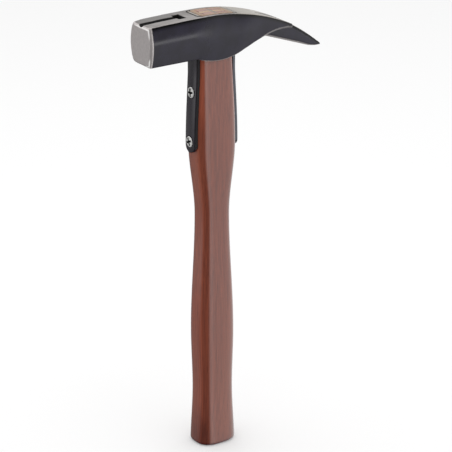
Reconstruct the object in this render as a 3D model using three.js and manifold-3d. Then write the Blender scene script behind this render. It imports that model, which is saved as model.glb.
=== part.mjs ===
// Lath hammer: a forged head with a nail holder, a short claw tine and a long pick,
// on a hickory handle that two screwed steel straps tie to the head.
// Millimetres, +Z up. The origin is the centre of the handle's butt. The striking face
// looks along -X, the claw points along +X, and the pick is on the +Y side of the claw.

import * as THREE from "three";
import { mergeVertices } from "three/addons/utils/BufferGeometryUtils.js";
import Module from "manifold-3d";

const wasm = await Module();
wasm.setup();

// Fits
const SEAT_GAP = 0.3; // between pieces that seat on each other
const CUT_PAST = 6; // how far a cutting shape runs past the surface it cuts

// Head: overall
const REACH = 296.6; // butt to the underside of the poll
const POLL_HEIGHT = 29.6; // underside of the poll to the crest of the ground top
const FACE_REACH = 57.8; // handle axis to the striking face
const FACE_CHAMFER = 1.5;
const TOP_WIDTH = 22.3; // across the ground top
const UNDERSIDE_WIDTH = 22.4;
const UNDERSIDE_EDGE_RADIUS = 1;
const POLL_BULGE = 2.6; // swell of each side of the poll at mid height
const CHEEK_BULGE = 2.3; // swell of each side at the eye
const CLAW_BULGE = 0.5;
const POLL_BULGE_END = 30; // handle axis to where the poll's swell starts to fade
const CLAW_BULGE_START = 16; // handle axis to where the cheek's swell starts to fade

// Head: the crown of the top, seen from the side
const CROWN_START = 10; // crest of the top, ahead of the handle axis
const POLL_CROWN_RADIUS = 1050; // from the crest to the face
const CROWN_RADIUS = 158; // from the crest to the tine's tip
const PICK_CROWN_RADIUS = 200;

// Head: the underside, seen from the side
const CHEEK_DROP = 3.6; // lowest point of the cheek below the underside of the poll
const CHEEK_RADIUS = 46;
const CHEEK_EXIT_ANGLE = 24.2; // degrees, where the cheek turns into the arch of the pick
const ARCH_RADIUS = 43;
const ARCH_EXIT_ANGLE = 19.7; // degrees, the straight run down to the tip of the pick

// Head: claw tine and pick
const PICK_REACH = 97.2; // handle axis to the tip of the pick
const PICK_TIP_OFFSET = 5.6; // tip from the mid plane
const PICK_TIP_WIDTH = 0.8;
const PICK_TIP_THICKNESS = 1.5;
const PICK_BELLY = 2; // height over which the underside turns level at the tip
const PICK_ROOT_OFFSET = 0.4; // inner wall of the pick from the mid plane, at the root of the notch
const PICK_TAPER_START = 36; // handle axis to where the outer side starts to taper
const PICK_EDGE_CHAMFER = 2; // along the lower inner edge
const TINE_REACH = 61; // handle axis to the tip of the tine
const TINE_TIP_THICKNESS = 1.7; // above the chamfer
const TINE_EDGE_CHAMFER = 1.8; // along the lower outer edge
const CLAW_CHAMFER_START = 29; // handle axis to where both chamfers begin
const CLAW_CHAMFER_FULL = 44; // handle axis to where both are full
const THROAT_RADIUS = 41; // hollow under the tine
const THROAT_LEVEL_BACK = 8; // highest point of the hollow behind the tine's tip
const NOTCH_ROOT = 37; // handle axis to the bottom of the nail notch
const NOTCH_ROOT_WIDTH = 2.4;
const NOTCH_MOUTH_WIDTH = 7.4;
const NOTCH_BEVEL_WIDTH = 1; // along both upper edges of the notch
const NOTCH_BEVEL_DEPTH = 2.6;
const NOTCH_BEVEL_RUNOUT = 8; // from the bottom of the notch to where the bevels are full

// Nail holder in the top of the poll
const GROOVE_WIDTH = 4.2;
const GROOVE_DEPTH = 1.8;
const GROOVE_EDGE_CHAMFER = 0.4;
const POCKET_FROM_FACE = 28.1; // striking face to the near wall of the nail-head pocket
const POCKET_LENGTH = 5.8;
const POCKET_WIDTH = 10.4;
const POCKET_DEPTH = 6.5;
const MAGNET_DIAMETER = 5;
const MAGNET_HEIGHT = 5;

// Handle: half sizes at each station, from the butt or from the underside of the poll
const BUTT_EDGE_RADIUS = 2.6;
const FLARE = { z: -10, depth: 16.1, width: 13.2, squareness: 2.7 }; // where the flare would crest
const NECK = { z: 44, depth: 13.7, width: 11.2, squareness: 3.2 };
const SWELL = { z: 88, depth: 14.6, width: 12, squareness: 3.2 };
const WAIST = { z: REACH - 118.5, depth: 11.45, width: 9.6, squareness: 3.4 };
const SHOULDER = { z: REACH - 64.5, depth: 15.9, width: 11.1, squareness: 3.8 };
const TONGUE = { z: REACH + 8.5, depth: 13.2, width: 8.5, squareness: 5 };
const HANDLE_STATIONS = [FLARE, NECK, SWELL, WAIST, SHOULDER, TONGUE];
const EYE_SQUARENESS = 9; // of the tongue where it fills the eye
const EYE_CORNER_RADIUS = 3;

// Wedges in the top of the tongue
const WOOD_WEDGE_LENGTH = 20;
const WOOD_WEDGE_DEPTH = 27;
const WOOD_WEDGE_TOP = 3.4; // thickness at the top
const STEEL_WEDGE_WIDTH = 12.5;
const STEEL_WEDGE_DEPTH = 20;
const STEEL_WEDGE_TOP = 2;
const WEDGE_TIP = 0.8; // thickness of either wedge at its thin end

// Straps
const STRAP_WIDTH = 12.6;
const STRAP_THICKNESS = 2.45;
const STRAP_CROWN = 0.7; // rise of the crowned section over its edges
const STRAP_EYE_CROWN = 0.1; // the same inside the eye
const STRAP_CROWN_FADE = 15; // underside of the poll down to where the crown is full
const STRAP_EDGE_CHAMFER = 0.7;
const STRAP_DROP = 70.2; // underside of the poll to the strap's rounded end
const STRAP_SHOULDER_RISE = 2; // underside of the poll up to where the strap widens to fill the eye

// Screws
const SCREW_HEAD_DIAMETER = 7.6;
const SCREW_SHANK_DIAMETER = 3.6;
const SCREW_LENGTH = 14;
const SCREW_TIP_LENGTH = 4;
const SCREW_DOME = 0.7; // raised part of the head
const SCREW_RECESS_SPAN = 4.4;
const SCREW_RECESS_WIDTH = 1;
const SCREW_RECESS_DEPTH = 1.6;
const SCREW_FROM_END = 8.2; // strap's end to the lower screw
const SCREW_PITCH = 35.6;

// Facets
const HANDLE_SIDES = 32;
const HANDLE_STEP = 5.5;
const HEAD_STEP = 2.6;
const SIDE_STEPS = 6; // up each side of a head section
const CORNER_STEPS = 3;
const GROOVE_STEPS = 8; // round the floor of the nail groove
const ROUND_SIDES = 24;

// Materials
const steelFinish = (color, roughness, metalness) =>
  new THREE.MeshStandardMaterial({ color, roughness, metalness });
const BLACK_STEEL = steelFinish(0x3a3a40, 0.5, 0.6);
const STRAP_STEEL = steelFinish(0x2e2e33, 0.45, 0.5);
const BRIGHT_STEEL = steelFinish(0xc9c6c0, 0.3, 1);
const MAGNET_STEEL = steelFinish(0x77777a, 0.35, 1);
const HICKORY = steelFinish(0x7a3f2c, 0.4, 0);
const PALE_WOOD = steelFinish(0xb98d5c, 0.6, 0);

// Solids

function solidOf(geometry) {
  const bare = geometry.index ? geometry.toNonIndexed() : geometry.clone();
  bare.deleteAttribute("normal");
  bare.deleteAttribute("uv");
  const merged = mergeVertices(bare, 1e-4);
  return new wasm.Manifold(
    new wasm.Mesh({
      numProp: 3,
      vertProperties: merged.attributes.position.array,
      triVerts: new Uint32Array(merged.index.array),
    }),
  );
}

function meshOf(name, solid, material) {
  const { vertProperties, triVerts } = solid.getMesh();
  const geometry = new THREE.BufferGeometry();
  geometry.setAttribute("position", new THREE.BufferAttribute(vertProperties, 3));
  geometry.setIndex(new THREE.BufferAttribute(triVerts, 1));
  const flat = geometry.toNonIndexed();
  flat.computeVertexNormals();
  const mesh = new THREE.Mesh(flat, material);
  mesh.name = name;
  return mesh;
}

// A closed skin over rings of equal length, each given as [x, y, z] points.
function loft(rings) {
  const count = rings[0].length;
  const index = [];
  for (let i = 0; i + 1 < rings.length; i++) {
    for (let j = 0; j < count; j++) {
      const a = i * count + j;
      const b = i * count + ((j + 1) % count);
      index.push(a, b, b + count, a, b + count, a + count);
    }
  }
  const last = (rings.length - 1) * count;
  for (let j = 1; j + 1 < count; j++) {
    index.push(0, j + 1, j, last, last + j, last + j + 1);
  }
  const geometry = new THREE.BufferGeometry();
  geometry.setAttribute("position", new THREE.Float32BufferAttribute(rings.flat(2), 3));
  geometry.setIndex(index);
  return solidOf(geometry);
}

// A shape drawn in X and Z, given thickness along Y.
function extrudeAlongY(shape, from, to) {
  const geometry = new THREE.ExtrudeGeometry(shape, { depth: to - from, bevelEnabled: false });
  geometry.rotateX(Math.PI / 2);
  geometry.translate(0, to, 0);
  return solidOf(geometry);
}

// A shape drawn in X and Y, given height along Z.
function extrudeAlongZ(shape, from, to) {
  const geometry = new THREE.ExtrudeGeometry(shape, { depth: to - from, bevelEnabled: false });
  geometry.translate(0, 0, from);
  return solidOf(geometry);
}

// A shape drawn in Y and Z, given length along X.
function extrudeAlongX(shape, from, to) {
  const geometry = new THREE.ExtrudeGeometry(shape, { depth: to - from, bevelEnabled: false });
  geometry.rotateX(Math.PI / 2);
  geometry.rotateZ(Math.PI / 2);
  geometry.translate(from, 0, 0);
  return solidOf(geometry);
}

function polygon(points) {
  return new THREE.Shape(points.map(([x, y]) => new THREE.Vector2(x, y)));
}

function steps(from, to, size) {
  const count = Math.max(1, Math.ceil((to - from) / size));
  return Array.from({ length: count + 1 }, (_, i) => from + ((to - from) * i) / count);
}

const { clamp, lerp, smoothstep, degToRad: radians, radToDeg: degrees } = THREE.MathUtils;

// Height of a circular arc above its ends' tangent, at a distance from its middle
const rise = (radius, distance) => radius - Math.sqrt(radius * radius - distance * distance);

// Head outline

const TOP_Z = REACH + POLL_HEIGHT;
const CHEEK_EXIT_X = CHEEK_RADIUS * Math.sin(radians(CHEEK_EXIT_ANGLE));
const CHEEK_EXIT_Z = REACH - CHEEK_DROP + rise(CHEEK_RADIUS, CHEEK_EXIT_X);

// Height of the ground top: almost level over the poll, then two arcs down to the pick.
function topAt(x) {
  const run = x + CROWN_START;
  if (run <= 0) return TOP_Z - rise(POLL_CROWN_RADIUS, run);
  const tineRun = TINE_REACH + CROWN_START;
  if (run <= tineRun) return TOP_Z - rise(CROWN_RADIUS, run);
  const sine = tineRun / CROWN_RADIUS;
  const further = sine + (run - tineRun) / PICK_CROWN_RADIUS;
  const drop = PICK_CROWN_RADIUS * (Math.sqrt(1 - sine * sine) - Math.sqrt(1 - further * further));
  return TOP_Z - rise(CROWN_RADIUS, tineRun) - drop;
}

// Height of the underside: level under the poll, a hanging cheek at the eye, an arch
// under the pick, and a straight run that turns level at its tip.
function undersideAt(x) {
  if (x <= CHEEK_EXIT_X) {
    const cheek = REACH - CHEEK_DROP + rise(CHEEK_RADIUS, Math.min(Math.abs(x), CHEEK_RADIUS));
    return x < 0 ? Math.min(REACH, cheek) : cheek;
  }
  const archCrest = CHEEK_EXIT_X + ARCH_RADIUS * Math.sin(radians(CHEEK_EXIT_ANGLE));
  const archExit = archCrest + ARCH_RADIUS * Math.sin(radians(ARCH_EXIT_ANGLE));
  const crestZ = CHEEK_EXIT_Z + rise(ARCH_RADIUS, archCrest - CHEEK_EXIT_X);
  const onArch = Math.min(x, archExit);
  const fall = (x - onArch) * Math.tan(radians(ARCH_EXIT_ANGLE));
  const arch = crestZ - rise(ARCH_RADIUS, onArch - archCrest) - fall;
  const tip = topAt(PICK_REACH) - PICK_TIP_THICKNESS;
  const blend = Math.max(PICK_BELLY - Math.abs(arch - tip), 0);
  return Math.max(arch, tip) + blend ** 2 / (4 * PICK_BELLY);
}

function bulgeAt(x) {
  if (x < 0) return lerp(POLL_BULGE, CHEEK_BULGE, smoothstep(x, -POLL_BULGE_END, 0));
  return lerp(CHEEK_BULGE, CLAW_BULGE, smoothstep(x, CLAW_BULGE_START, NOTCH_ROOT));
}

// Half width of the head at a share of its height, counted from the top.
function halfWidthAt(x, share) {
  return lerp(TOP_WIDTH, UNDERSIDE_WIDTH, share) / 2 + bulgeAt(x) * 4 * share * (1 - share);
}

// One cross-section of the head: sharp at the ground top, swelling sides, rounded below.
function headRing(x, inset) {
  const top = topAt(x) - inset;
  const bottom = undersideAt(x) + inset;
  const radius = Math.min(UNDERSIDE_EDGE_RADIUS, (top - bottom) / 2);
  const halfBottom = UNDERSIDE_WIDTH / 2 - inset;
  const side = [];
  for (let k = 0; k < SIDE_STEPS; k++) {
    const share = k / SIDE_STEPS;
    side.push([halfWidthAt(x, share) - inset, lerp(top, bottom + radius, share)]);
  }
  for (let k = 0; k <= CORNER_STEPS; k++) {
    const angle = ((k / CORNER_STEPS) * Math.PI) / 2;
    const y = halfBottom - radius * (1 - Math.cos(angle));
    side.push([y, bottom + radius * (1 - Math.sin(angle))]);
  }
  const farSide = side.toReversed().map(([y, z]) => [x, y, z]);
  const nearSide = side.map(([y, z]) => [x, -y, z]);
  return [...farSide, ...nearSide];
}

function headStock() {
  const stations = steps(FACE_CHAMFER - FACE_REACH, PICK_REACH, HEAD_STEP);
  const rings = stations.map((x) => headRing(x, 0));
  return loft([headRing(-FACE_REACH, FACE_CHAMFER), ...rings]);
}

// Everything above the ground top, for grinding what fills the eye flush with the head.
function aboveTop() {
  const edge = steps(-FACE_REACH, TINE_REACH, HEAD_STEP).map((x) => [x, topAt(x)]);
  const lid = TOP_Z + CUT_PAST;
  const shape = polygon([...edge, [TINE_REACH, lid], [-FACE_REACH, lid]]);
  return extrudeAlongY(shape, -TOP_WIDTH, TOP_WIDTH);
}

// Claw tine and pick

// Inner wall of the pick, from the mid plane: one straight line from notch to tip.
function pickWallAt(x) {
  const tipWall = PICK_TIP_OFFSET - PICK_TIP_WIDTH / 2;
  return lerp(PICK_ROOT_OFFSET, tipWall, (x - NOTCH_ROOT) / (PICK_REACH - NOTCH_ROOT));
}

// Outer side of the pick, from the mid plane, tapering to the tip.
function pickOuterAt(x) {
  const tip = PICK_TIP_OFFSET + PICK_TIP_WIDTH / 2;
  const start = TOP_WIDTH / 2 + CLAW_BULGE;
  return lerp(start, tip, (x - PICK_TAPER_START) / (PICK_REACH - PICK_TAPER_START));
}

// Inner wall of the tine, from the mid plane.
function tineWallAt(x) {
  const root = pickWallAt(NOTCH_ROOT) - NOTCH_ROOT_WIDTH;
  const mouth = pickWallAt(TINE_REACH) - NOTCH_MOUTH_WIDTH;
  return lerp(root, mouth, (x - NOTCH_ROOT) / (TINE_REACH - NOTCH_ROOT));
}

// Lower outer edge of the tine: straight on from the cheek, then an arc that comes level
// shortly before the tip.
function throatEdgeAt(x) {
  const levelX = TINE_REACH - THROAT_LEVEL_BACK;
  const tipZ = topAt(TINE_REACH) - TINE_TIP_THICKNESS;
  const levelZ = tipZ + rise(THROAT_RADIUS, THROAT_LEVEL_BACK);
  const bendX = levelX - THROAT_RADIUS * Math.sin(radians(CHEEK_EXIT_ANGLE));
  const onArc = Math.max(x, bendX);
  const fall = (onArc - x) * Math.tan(radians(CHEEK_EXIT_ANGLE));
  return levelZ - rise(THROAT_RADIUS, onArc - levelX) - fall;
}

// Chamfers, kept within half of the thickness and the width at hand.
const chamferWithin = (size, ...spans) => Math.max(0, Math.min(size, ...spans.map((span) => span / 2)));

function pickSpansAt(x) {
  return [pickOuterAt(x) - pickWallAt(x), topAt(x) - undersideAt(x)];
}

function notchWaste() {
  const past = PICK_REACH + CUT_PAST;
  const outside = -TOP_WIDTH;
  const shape = new THREE.Shape();
  shape.moveTo(past, pickWallAt(past));
  shape.lineTo(NOTCH_ROOT, pickWallAt(NOTCH_ROOT));
  const rootMiddle = pickWallAt(NOTCH_ROOT) - NOTCH_ROOT_WIDTH / 2;
  shape.quadraticCurveTo(NOTCH_ROOT - NOTCH_ROOT_WIDTH, rootMiddle, NOTCH_ROOT, tineWallAt(NOTCH_ROOT));
  shape.lineTo(TINE_REACH, tineWallAt(TINE_REACH));
  shape.lineTo(TINE_REACH, outside);
  shape.lineTo(past, outside);
  return extrudeAlongZ(shape, REACH - POLL_HEIGHT, TOP_Z + CUT_PAST);
}

// One cross-section of a bevel on the notch's upper edge, from below its lower line up
// past the top. It moves into the metal from nothing at the bottom of the notch.
function bevelRing(x, wall, width, depth, towards) {
  const top = topAt(x);
  const grown = smoothstep(x, NOTCH_ROOT, NOTCH_ROOT + NOTCH_BEVEL_RUNOUT);
  const start = wall - towards * width * (1 - grown);
  const over = CUT_PAST / NOTCH_BEVEL_DEPTH;
  const under = SEAT_GAP / NOTCH_BEVEL_DEPTH;
  const section = [
    [start - towards * width * under, top - depth * (1 + under)],
    [start + towards * width * (1 + over), top + depth * over],
    [start - towards * width * under, top + depth * over],
  ];
  const turned = towards > 0 ? section : section.toReversed();
  return turned.map(([y, z]) => [x, y, z]);
}

function pickBevelWaste() {
  const rings = steps(NOTCH_ROOT, PICK_REACH, HEAD_STEP).map((x) => {
    const [across, thickness] = pickSpansAt(x);
    const width = chamferWithin(NOTCH_BEVEL_WIDTH, across);
    return bevelRing(x, pickWallAt(x), width, chamferWithin(NOTCH_BEVEL_DEPTH, thickness), 1);
  });
  return loft(rings);
}

function tineBevelWaste() {
  const rings = steps(NOTCH_ROOT, TINE_REACH, HEAD_STEP).map((x) => {
    const thickness = topAt(x) - throatEdgeAt(x) + TINE_EDGE_CHAMFER;
    const depth = chamferWithin(NOTCH_BEVEL_DEPTH, thickness);
    return bevelRing(x, tineWallAt(x), NOTCH_BEVEL_WIDTH, depth, -1);
  });
  return loft(rings);
}

// The hollow under the tine, back to the inner wall of the pick, with the chamfer on the
// lower edge of each. It starts where the tine's lower edge leaves the underside.
function throatWaste() {
  const outside = -TOP_WIDTH;
  const stations = steps(CHEEK_EXIT_X - CUT_PAST / 2, PICK_REACH + CUT_PAST, HEAD_STEP);
  const rings = stations.map((x) => {
    const wall = pickWallAt(x);
    const edge = throatEdgeAt(Math.min(x, TINE_REACH));
    const share = (topAt(x) - edge) / (topAt(x) - undersideAt(x) - UNDERSIDE_EDGE_RADIUS);
    const side = -halfWidthAt(x, clamp(share, 0, 1));
    const grown = smoothstep(x, CLAW_CHAMFER_START, CLAW_CHAMFER_FULL);
    const tineChamfer = grown * TINE_EDGE_CHAMFER;
    const pickChamfer = grown * chamferWithin(PICK_EDGE_CHAMFER, ...pickSpansAt(x));
    const ceiling = edge - tineChamfer;
    const sill = Math.min(undersideAt(x) + pickChamfer, ceiling - SEAT_GAP);
    const section = [
      [outside, sill - CUT_PAST],
      [wall + CUT_PAST, sill - CUT_PAST],
      [wall, sill],
      [wall, ceiling],
      [side + tineChamfer, ceiling],
      [outside, edge + side - outside],
    ];
    return section.map(([y, z]) => [x, y, z]);
  });
  return loft(rings);
}

function pickTaperWaste() {
  const past = PICK_REACH + CUT_PAST;
  const shape = polygon([
    [PICK_TAPER_START, pickOuterAt(PICK_TAPER_START)],
    [past, pickOuterAt(past)],
    [past, TOP_WIDTH],
    [PICK_TAPER_START, TOP_WIDTH],
  ]);
  return extrudeAlongZ(shape, REACH - POLL_HEIGHT, TOP_Z + CUT_PAST);
}

// Nail holder

const POCKET_X = -FACE_REACH + POCKET_FROM_FACE;
const MAGNET_X = POCKET_X + POCKET_LENGTH / 2;
const MAGNET_TOP_Z = TOP_Z - POCKET_DEPTH;

// One cross-section of the nail groove: rounded floor, chamfered mouth.
function grooveRing(x) {
  const top = topAt(x);
  const half = GROOVE_WIDTH / 2;
  const past = half + GROOVE_EDGE_CHAMFER + CUT_PAST;
  const lip = top - GROOVE_EDGE_CHAMFER;
  const floor = steps(Math.PI, 2 * Math.PI, Math.PI / GROOVE_STEPS).map((angle) => [
    half * Math.cos(angle),
    lip + (GROOVE_DEPTH - GROOVE_EDGE_CHAMFER) * Math.sin(angle),
  ]);
  const section = [[-past, top + CUT_PAST], ...floor, [past, top + CUT_PAST]];
  return section.map(([y, z]) => [x, y, z]);
}

function grooveWaste() {
  const stations = steps(-FACE_REACH - CUT_PAST, POCKET_X + POCKET_LENGTH / 2, POCKET_FROM_FACE / 4);
  return loft(stations.map(grooveRing));
}

function pocketWaste() {
  const height = POCKET_DEPTH + CUT_PAST;
  const box = new THREE.BoxGeometry(POCKET_LENGTH, POCKET_WIDTH, height);
  box.translate(MAGNET_X, 0, MAGNET_TOP_Z + height / 2);
  return solidOf(box);
}

function uprightCylinder(diameter, x, from, to) {
  const cylinder = new THREE.CylinderGeometry(diameter / 2, diameter / 2, to - from, ROUND_SIDES);
  cylinder.rotateX(Math.PI / 2);
  cylinder.translate(x, 0, (from + to) / 2);
  return solidOf(cylinder);
}

function magnetSeatWaste() {
  const floor = MAGNET_TOP_Z - MAGNET_HEIGHT - SEAT_GAP;
  return uprightCylinder(MAGNET_DIAMETER + 2 * SEAT_GAP, MAGNET_X, floor, MAGNET_TOP_Z + CUT_PAST / 2);
}

// Handle and straps

// Half depth, half width and squareness of the handle at a height.
function handleAt(z) {
  const next = HANDLE_STATIONS.findIndex((station) => station.z > z);
  if (next < 0) return HANDLE_STATIONS.at(-1);
  const [low, high] = [HANDLE_STATIONS[next - 1], HANDLE_STATIONS[next]];
  const share = smoothstep(z, low.z, high.z);
  return {
    depth: lerp(low.depth, high.depth, share),
    width: lerp(low.width, high.width, share),
    squareness: lerp(low.squareness, high.squareness, share),
  };
}

// Squareness of the handle's section, which turns squarer inside the eye.
function squarenessAt(z) {
  return lerp(handleAt(z).squareness, EYE_SQUARENESS, smoothstep(z, REACH - CHEEK_DROP, TONGUE.z));
}

// One cross-section of the handle: a superellipse.
function handleRing(z, inset) {
  const { depth, width } = handleAt(z);
  const bend = (value) => Math.sign(value) * Math.abs(value) ** (2 / squarenessAt(z));
  return Array.from({ length: HANDLE_SIDES }, (_, i) => {
    const angle = ((i + 0.5) * 2 * Math.PI) / HANDLE_SIDES;
    return [(depth - inset) * bend(Math.cos(angle)), (width - inset) * bend(Math.sin(angle)), z];
  });
}

function handleStock() {
  const rounding = steps(0, Math.PI / 2, Math.PI / 8).map((angle) => {
    const inset = BUTT_EDGE_RADIUS * (1 - Math.sin(angle));
    return handleRing(BUTT_EDGE_RADIUS * (1 - Math.cos(angle)), inset);
  });
  const shaft = steps(BUTT_EDGE_RADIUS, TOP_Z + CUT_PAST / 2, HANDLE_STEP).slice(1);
  return loft([...rounding, ...shaft.map((z) => handleRing(z, 0))]);
}

// Outer face of a strap, from the handle axis, on its crown line.
const strapFaceAt = (z) => handleAt(z).depth + SEAT_GAP + STRAP_THICKNESS;

const STRAP_END_Z = REACH - STRAP_DROP;

// One cross-section of a strap: crowned outside and inside, with chamfered outer edges.
function strapRing(z, side, half) {
  const crown = lerp(STRAP_CROWN, STRAP_EYE_CROWN, smoothstep(z, REACH - STRAP_CROWN_FADE, REACH));
  const sag = (y) => crown * (y / (STRAP_WIDTH / 2)) ** 2;
  const outer = strapFaceAt(z);
  const inner = outer - STRAP_THICKNESS;
  const shoulder = half - STRAP_EDGE_CHAMFER;
  const across = steps(-shoulder, shoulder, STRAP_WIDTH / 6);
  const points = [
    ...across.map((y) => [outer - sag(y), y]),
    [outer - sag(half) - STRAP_EDGE_CHAMFER, half],
    [inner - sag(half), half],
    ...across.toReversed().map((y) => [inner - sag(y), y]),
    [inner - sag(half), -half],
    [outer - sag(half) - STRAP_EDGE_CHAMFER, -half],
  ];
  return points.map(([x, y]) => [side * x, side * y, z]);
}

// The strap's outline from the front: straight, with a round lower end.
function strapOutline() {
  const half = STRAP_WIDTH / 2;
  const lid = TOP_Z + 2 * CUT_PAST;
  const shape = new THREE.Shape();
  shape.moveTo(half + CUT_PAST, lid);
  shape.lineTo(-half - CUT_PAST, lid);
  shape.lineTo(-half - CUT_PAST, STRAP_END_Z + half);
  shape.lineTo(-half, STRAP_END_Z + half);
  shape.absarc(0, STRAP_END_Z + half, half, Math.PI, 2 * Math.PI, false);
  shape.lineTo(half + CUT_PAST, STRAP_END_Z + half);
  const reach = SHOULDER.depth + STRAP_THICKNESS + CUT_PAST;
  return extrudeAlongX(shape, -reach, reach);
}

// A strap: a narrow blade down the handle, and a root that fills the end of the eye.
function strapSolid(side, screws) {
  const bladeHeights = steps(STRAP_END_Z - CUT_PAST, TOP_Z + CUT_PAST, HANDLE_STEP);
  const blade = loft(bladeHeights.map((z) => strapRing(z, side, STRAP_WIDTH / 2)));
  const rootHeights = steps(REACH + STRAP_SHOULDER_RISE, TOP_Z + CUT_PAST, HANDLE_STEP);
  const root = loft(rootHeights.map((z) => strapRing(z, side, handleAt(z).width)));
  const strap = blade.intersect(strapOutline()).add(root.intersect(eyeSolid(SEAT_GAP)));
  const trimmed = strap.subtract(aboveTop());
  return screws.reduce((part, screw) => part.subtract(screwSolid(screw, SEAT_GAP)), trimmed);
}

// The eye: a rounded rectangle around the tongue and both straps, following their taper.
function eyeRing(z, inset) {
  const halfLength = strapFaceAt(z) + SEAT_GAP - inset;
  const halfWidth = handleAt(z).width + SEAT_GAP - inset;
  const radius = EYE_CORNER_RADIUS - inset;
  const ring = [];
  for (let corner = 0; corner < 4; corner++) {
    const toX = corner === 0 || corner === 3 ? 1 : -1;
    const toY = corner < 2 ? 1 : -1;
    for (let k = 0; k <= CORNER_STEPS; k++) {
      const angle = ((corner + k / CORNER_STEPS) * Math.PI) / 2;
      const x = toX * (halfLength - radius) + radius * Math.cos(angle);
      const y = toY * (halfWidth - radius) + radius * Math.sin(angle);
      ring.push([x, y, z]);
    }
  }
  return ring;
}

function eyeSolid(inset) {
  const heights = steps(REACH - CHEEK_DROP - CUT_PAST, TOP_Z + CUT_PAST, HANDLE_STEP);
  return loft(heights.map((z) => eyeRing(z, inset)));
}

// Screws

// Where each screw sits: on the strap's crown line, square to it.
function screwPlaces(side) {
  return [STRAP_END_Z + SCREW_FROM_END + SCREW_PITCH, STRAP_END_Z + SCREW_FROM_END].map((z) => {
    const slope = (strapFaceAt(z + 1) - strapFaceAt(z - 1)) / 2;
    return { side, z, x: strapFaceAt(z), tilt: Math.atan(slope) };
  });
}

// A countersunk wood screw with a raised head and a cross recess, grown by a clearance
// where it is the hole for one.
function screwSolid({ side, z, x, tilt }, clearance) {
  const head = SCREW_HEAD_DIAMETER / 2 + clearance;
  const shank = SCREW_SHANK_DIAMETER / 2 + clearance;
  const length = SCREW_LENGTH + clearance;
  const profile = [
    [0, -length],
    [shank, SCREW_TIP_LENGTH - length],
    [shank, shank - head],
    [head, 0],
    ...(clearance > 0 ? [[head, CUT_PAST], [0, CUT_PAST]] : domeProfile()),
  ];
  const lathe = new THREE.LatheGeometry(
    profile.map(([radius, height]) => new THREE.Vector2(radius, height)),
    ROUND_SIDES,
  );
  let screw = solidOf(lathe);
  if (clearance === 0) screw = screw.subtract(recessWaste());
  const turned = screw.rotate([0, 0, -90]).rotate([0, degrees(-tilt), 0]);
  const placed = turned.translate([x, 0, z]);
  return side > 0 ? placed : placed.rotate([0, 0, 180]);
}

function domeProfile() {
  const half = SCREW_HEAD_DIAMETER / 2;
  return steps(0, half, half / 4)
    .slice(1)
    .map((inward) => [half - inward, SCREW_DOME * (1 - (1 - inward / half) ** 2)]);
}

function recessWaste() {
  const height = SCREW_RECESS_DEPTH + CUT_PAST;
  const arm = (x, z) => {
    const box = new THREE.BoxGeometry(x, height, z);
    box.translate(0, SCREW_DOME - SCREW_RECESS_DEPTH + height / 2, 0);
    return solidOf(box);
  };
  return arm(SCREW_RECESS_SPAN, SCREW_RECESS_WIDTH).add(arm(SCREW_RECESS_WIDTH, SCREW_RECESS_SPAN));
}

// Wedges

// A tapered section drawn across the wedge: thick at the top, thin at its tip.
function wedgeSection(topThickness, depth, clearance) {
  const top = TOP_Z + CUT_PAST / 2;
  const tip = TOP_Z - depth - clearance;
  const halfTop = topThickness / 2 + clearance;
  const halfTip = WEDGE_TIP / 2 + clearance;
  return polygon([
    [-halfTip, tip],
    [halfTip, tip],
    [halfTop, TOP_Z],
    [halfTop, top],
    [-halfTop, top],
    [-halfTop, TOP_Z],
  ]);
}

function woodWedgeStock(clearance) {
  const half = WOOD_WEDGE_LENGTH / 2 + clearance;
  return extrudeAlongX(wedgeSection(WOOD_WEDGE_TOP, WOOD_WEDGE_DEPTH, clearance), -half, half);
}

function steelWedgeStock(clearance) {
  const half = STEEL_WEDGE_WIDTH / 2 + clearance;
  return extrudeAlongY(wedgeSection(STEEL_WEDGE_TOP, STEEL_WEDGE_DEPTH, clearance), -half, half);
}

// Assembly

const frontScrews = screwPlaces(-1);
const rearScrews = screwPlaces(1);
const screwHoles = [...frontScrews, ...rearScrews].map((screw) => screwSolid(screw, SEAT_GAP));

const head = [
  notchWaste(),
  pickBevelWaste(),
  tineBevelWaste(),
  throatWaste(),
  pickTaperWaste(),
  grooveWaste(),
  pocketWaste(),
  magnetSeatWaste(),
  eyeSolid(0),
].reduce((stock, waste) => stock.subtract(waste), headStock());

const handle = [aboveTop(), woodWedgeStock(SEAT_GAP), steelWedgeStock(SEAT_GAP), ...screwHoles].reduce(
  (stock, waste) => stock.subtract(waste),
  handleStock(),
);

const woodWedge = woodWedgeStock(0).subtract(aboveTop()).subtract(steelWedgeStock(SEAT_GAP));
const steelWedge = steelWedgeStock(0).subtract(aboveTop());
const magnet = uprightCylinder(MAGNET_DIAMETER, MAGNET_X, MAGNET_TOP_Z - MAGNET_HEIGHT, MAGNET_TOP_Z);

const hammer = new THREE.Group();
hammer.add(
  meshOf("head", head, BLACK_STEEL),
  meshOf("nail_magnet", magnet, MAGNET_STEEL),
  meshOf("handle", handle, HICKORY),
  meshOf("wood_wedge", woodWedge, PALE_WOOD),
  meshOf("steel_wedge", steelWedge, BRIGHT_STEEL),
  meshOf("front_strap", strapSolid(-1, frontScrews), STRAP_STEEL),
  meshOf("rear_strap", strapSolid(1, rearScrews), STRAP_STEEL),
);
for (const [end, screws] of [["front", frontScrews], ["rear", rearScrews]]) {
  ["upper", "lower"].forEach((level, i) => {
    hammer.add(meshOf(`${end}_${level}_screw`, screwSolid(screws[i], 0), BRIGHT_STEEL));
  });
}

export default hammer;
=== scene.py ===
import math

import bmesh
import bpy
import numpy as np
from mathutils import Matrix, Vector


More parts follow.
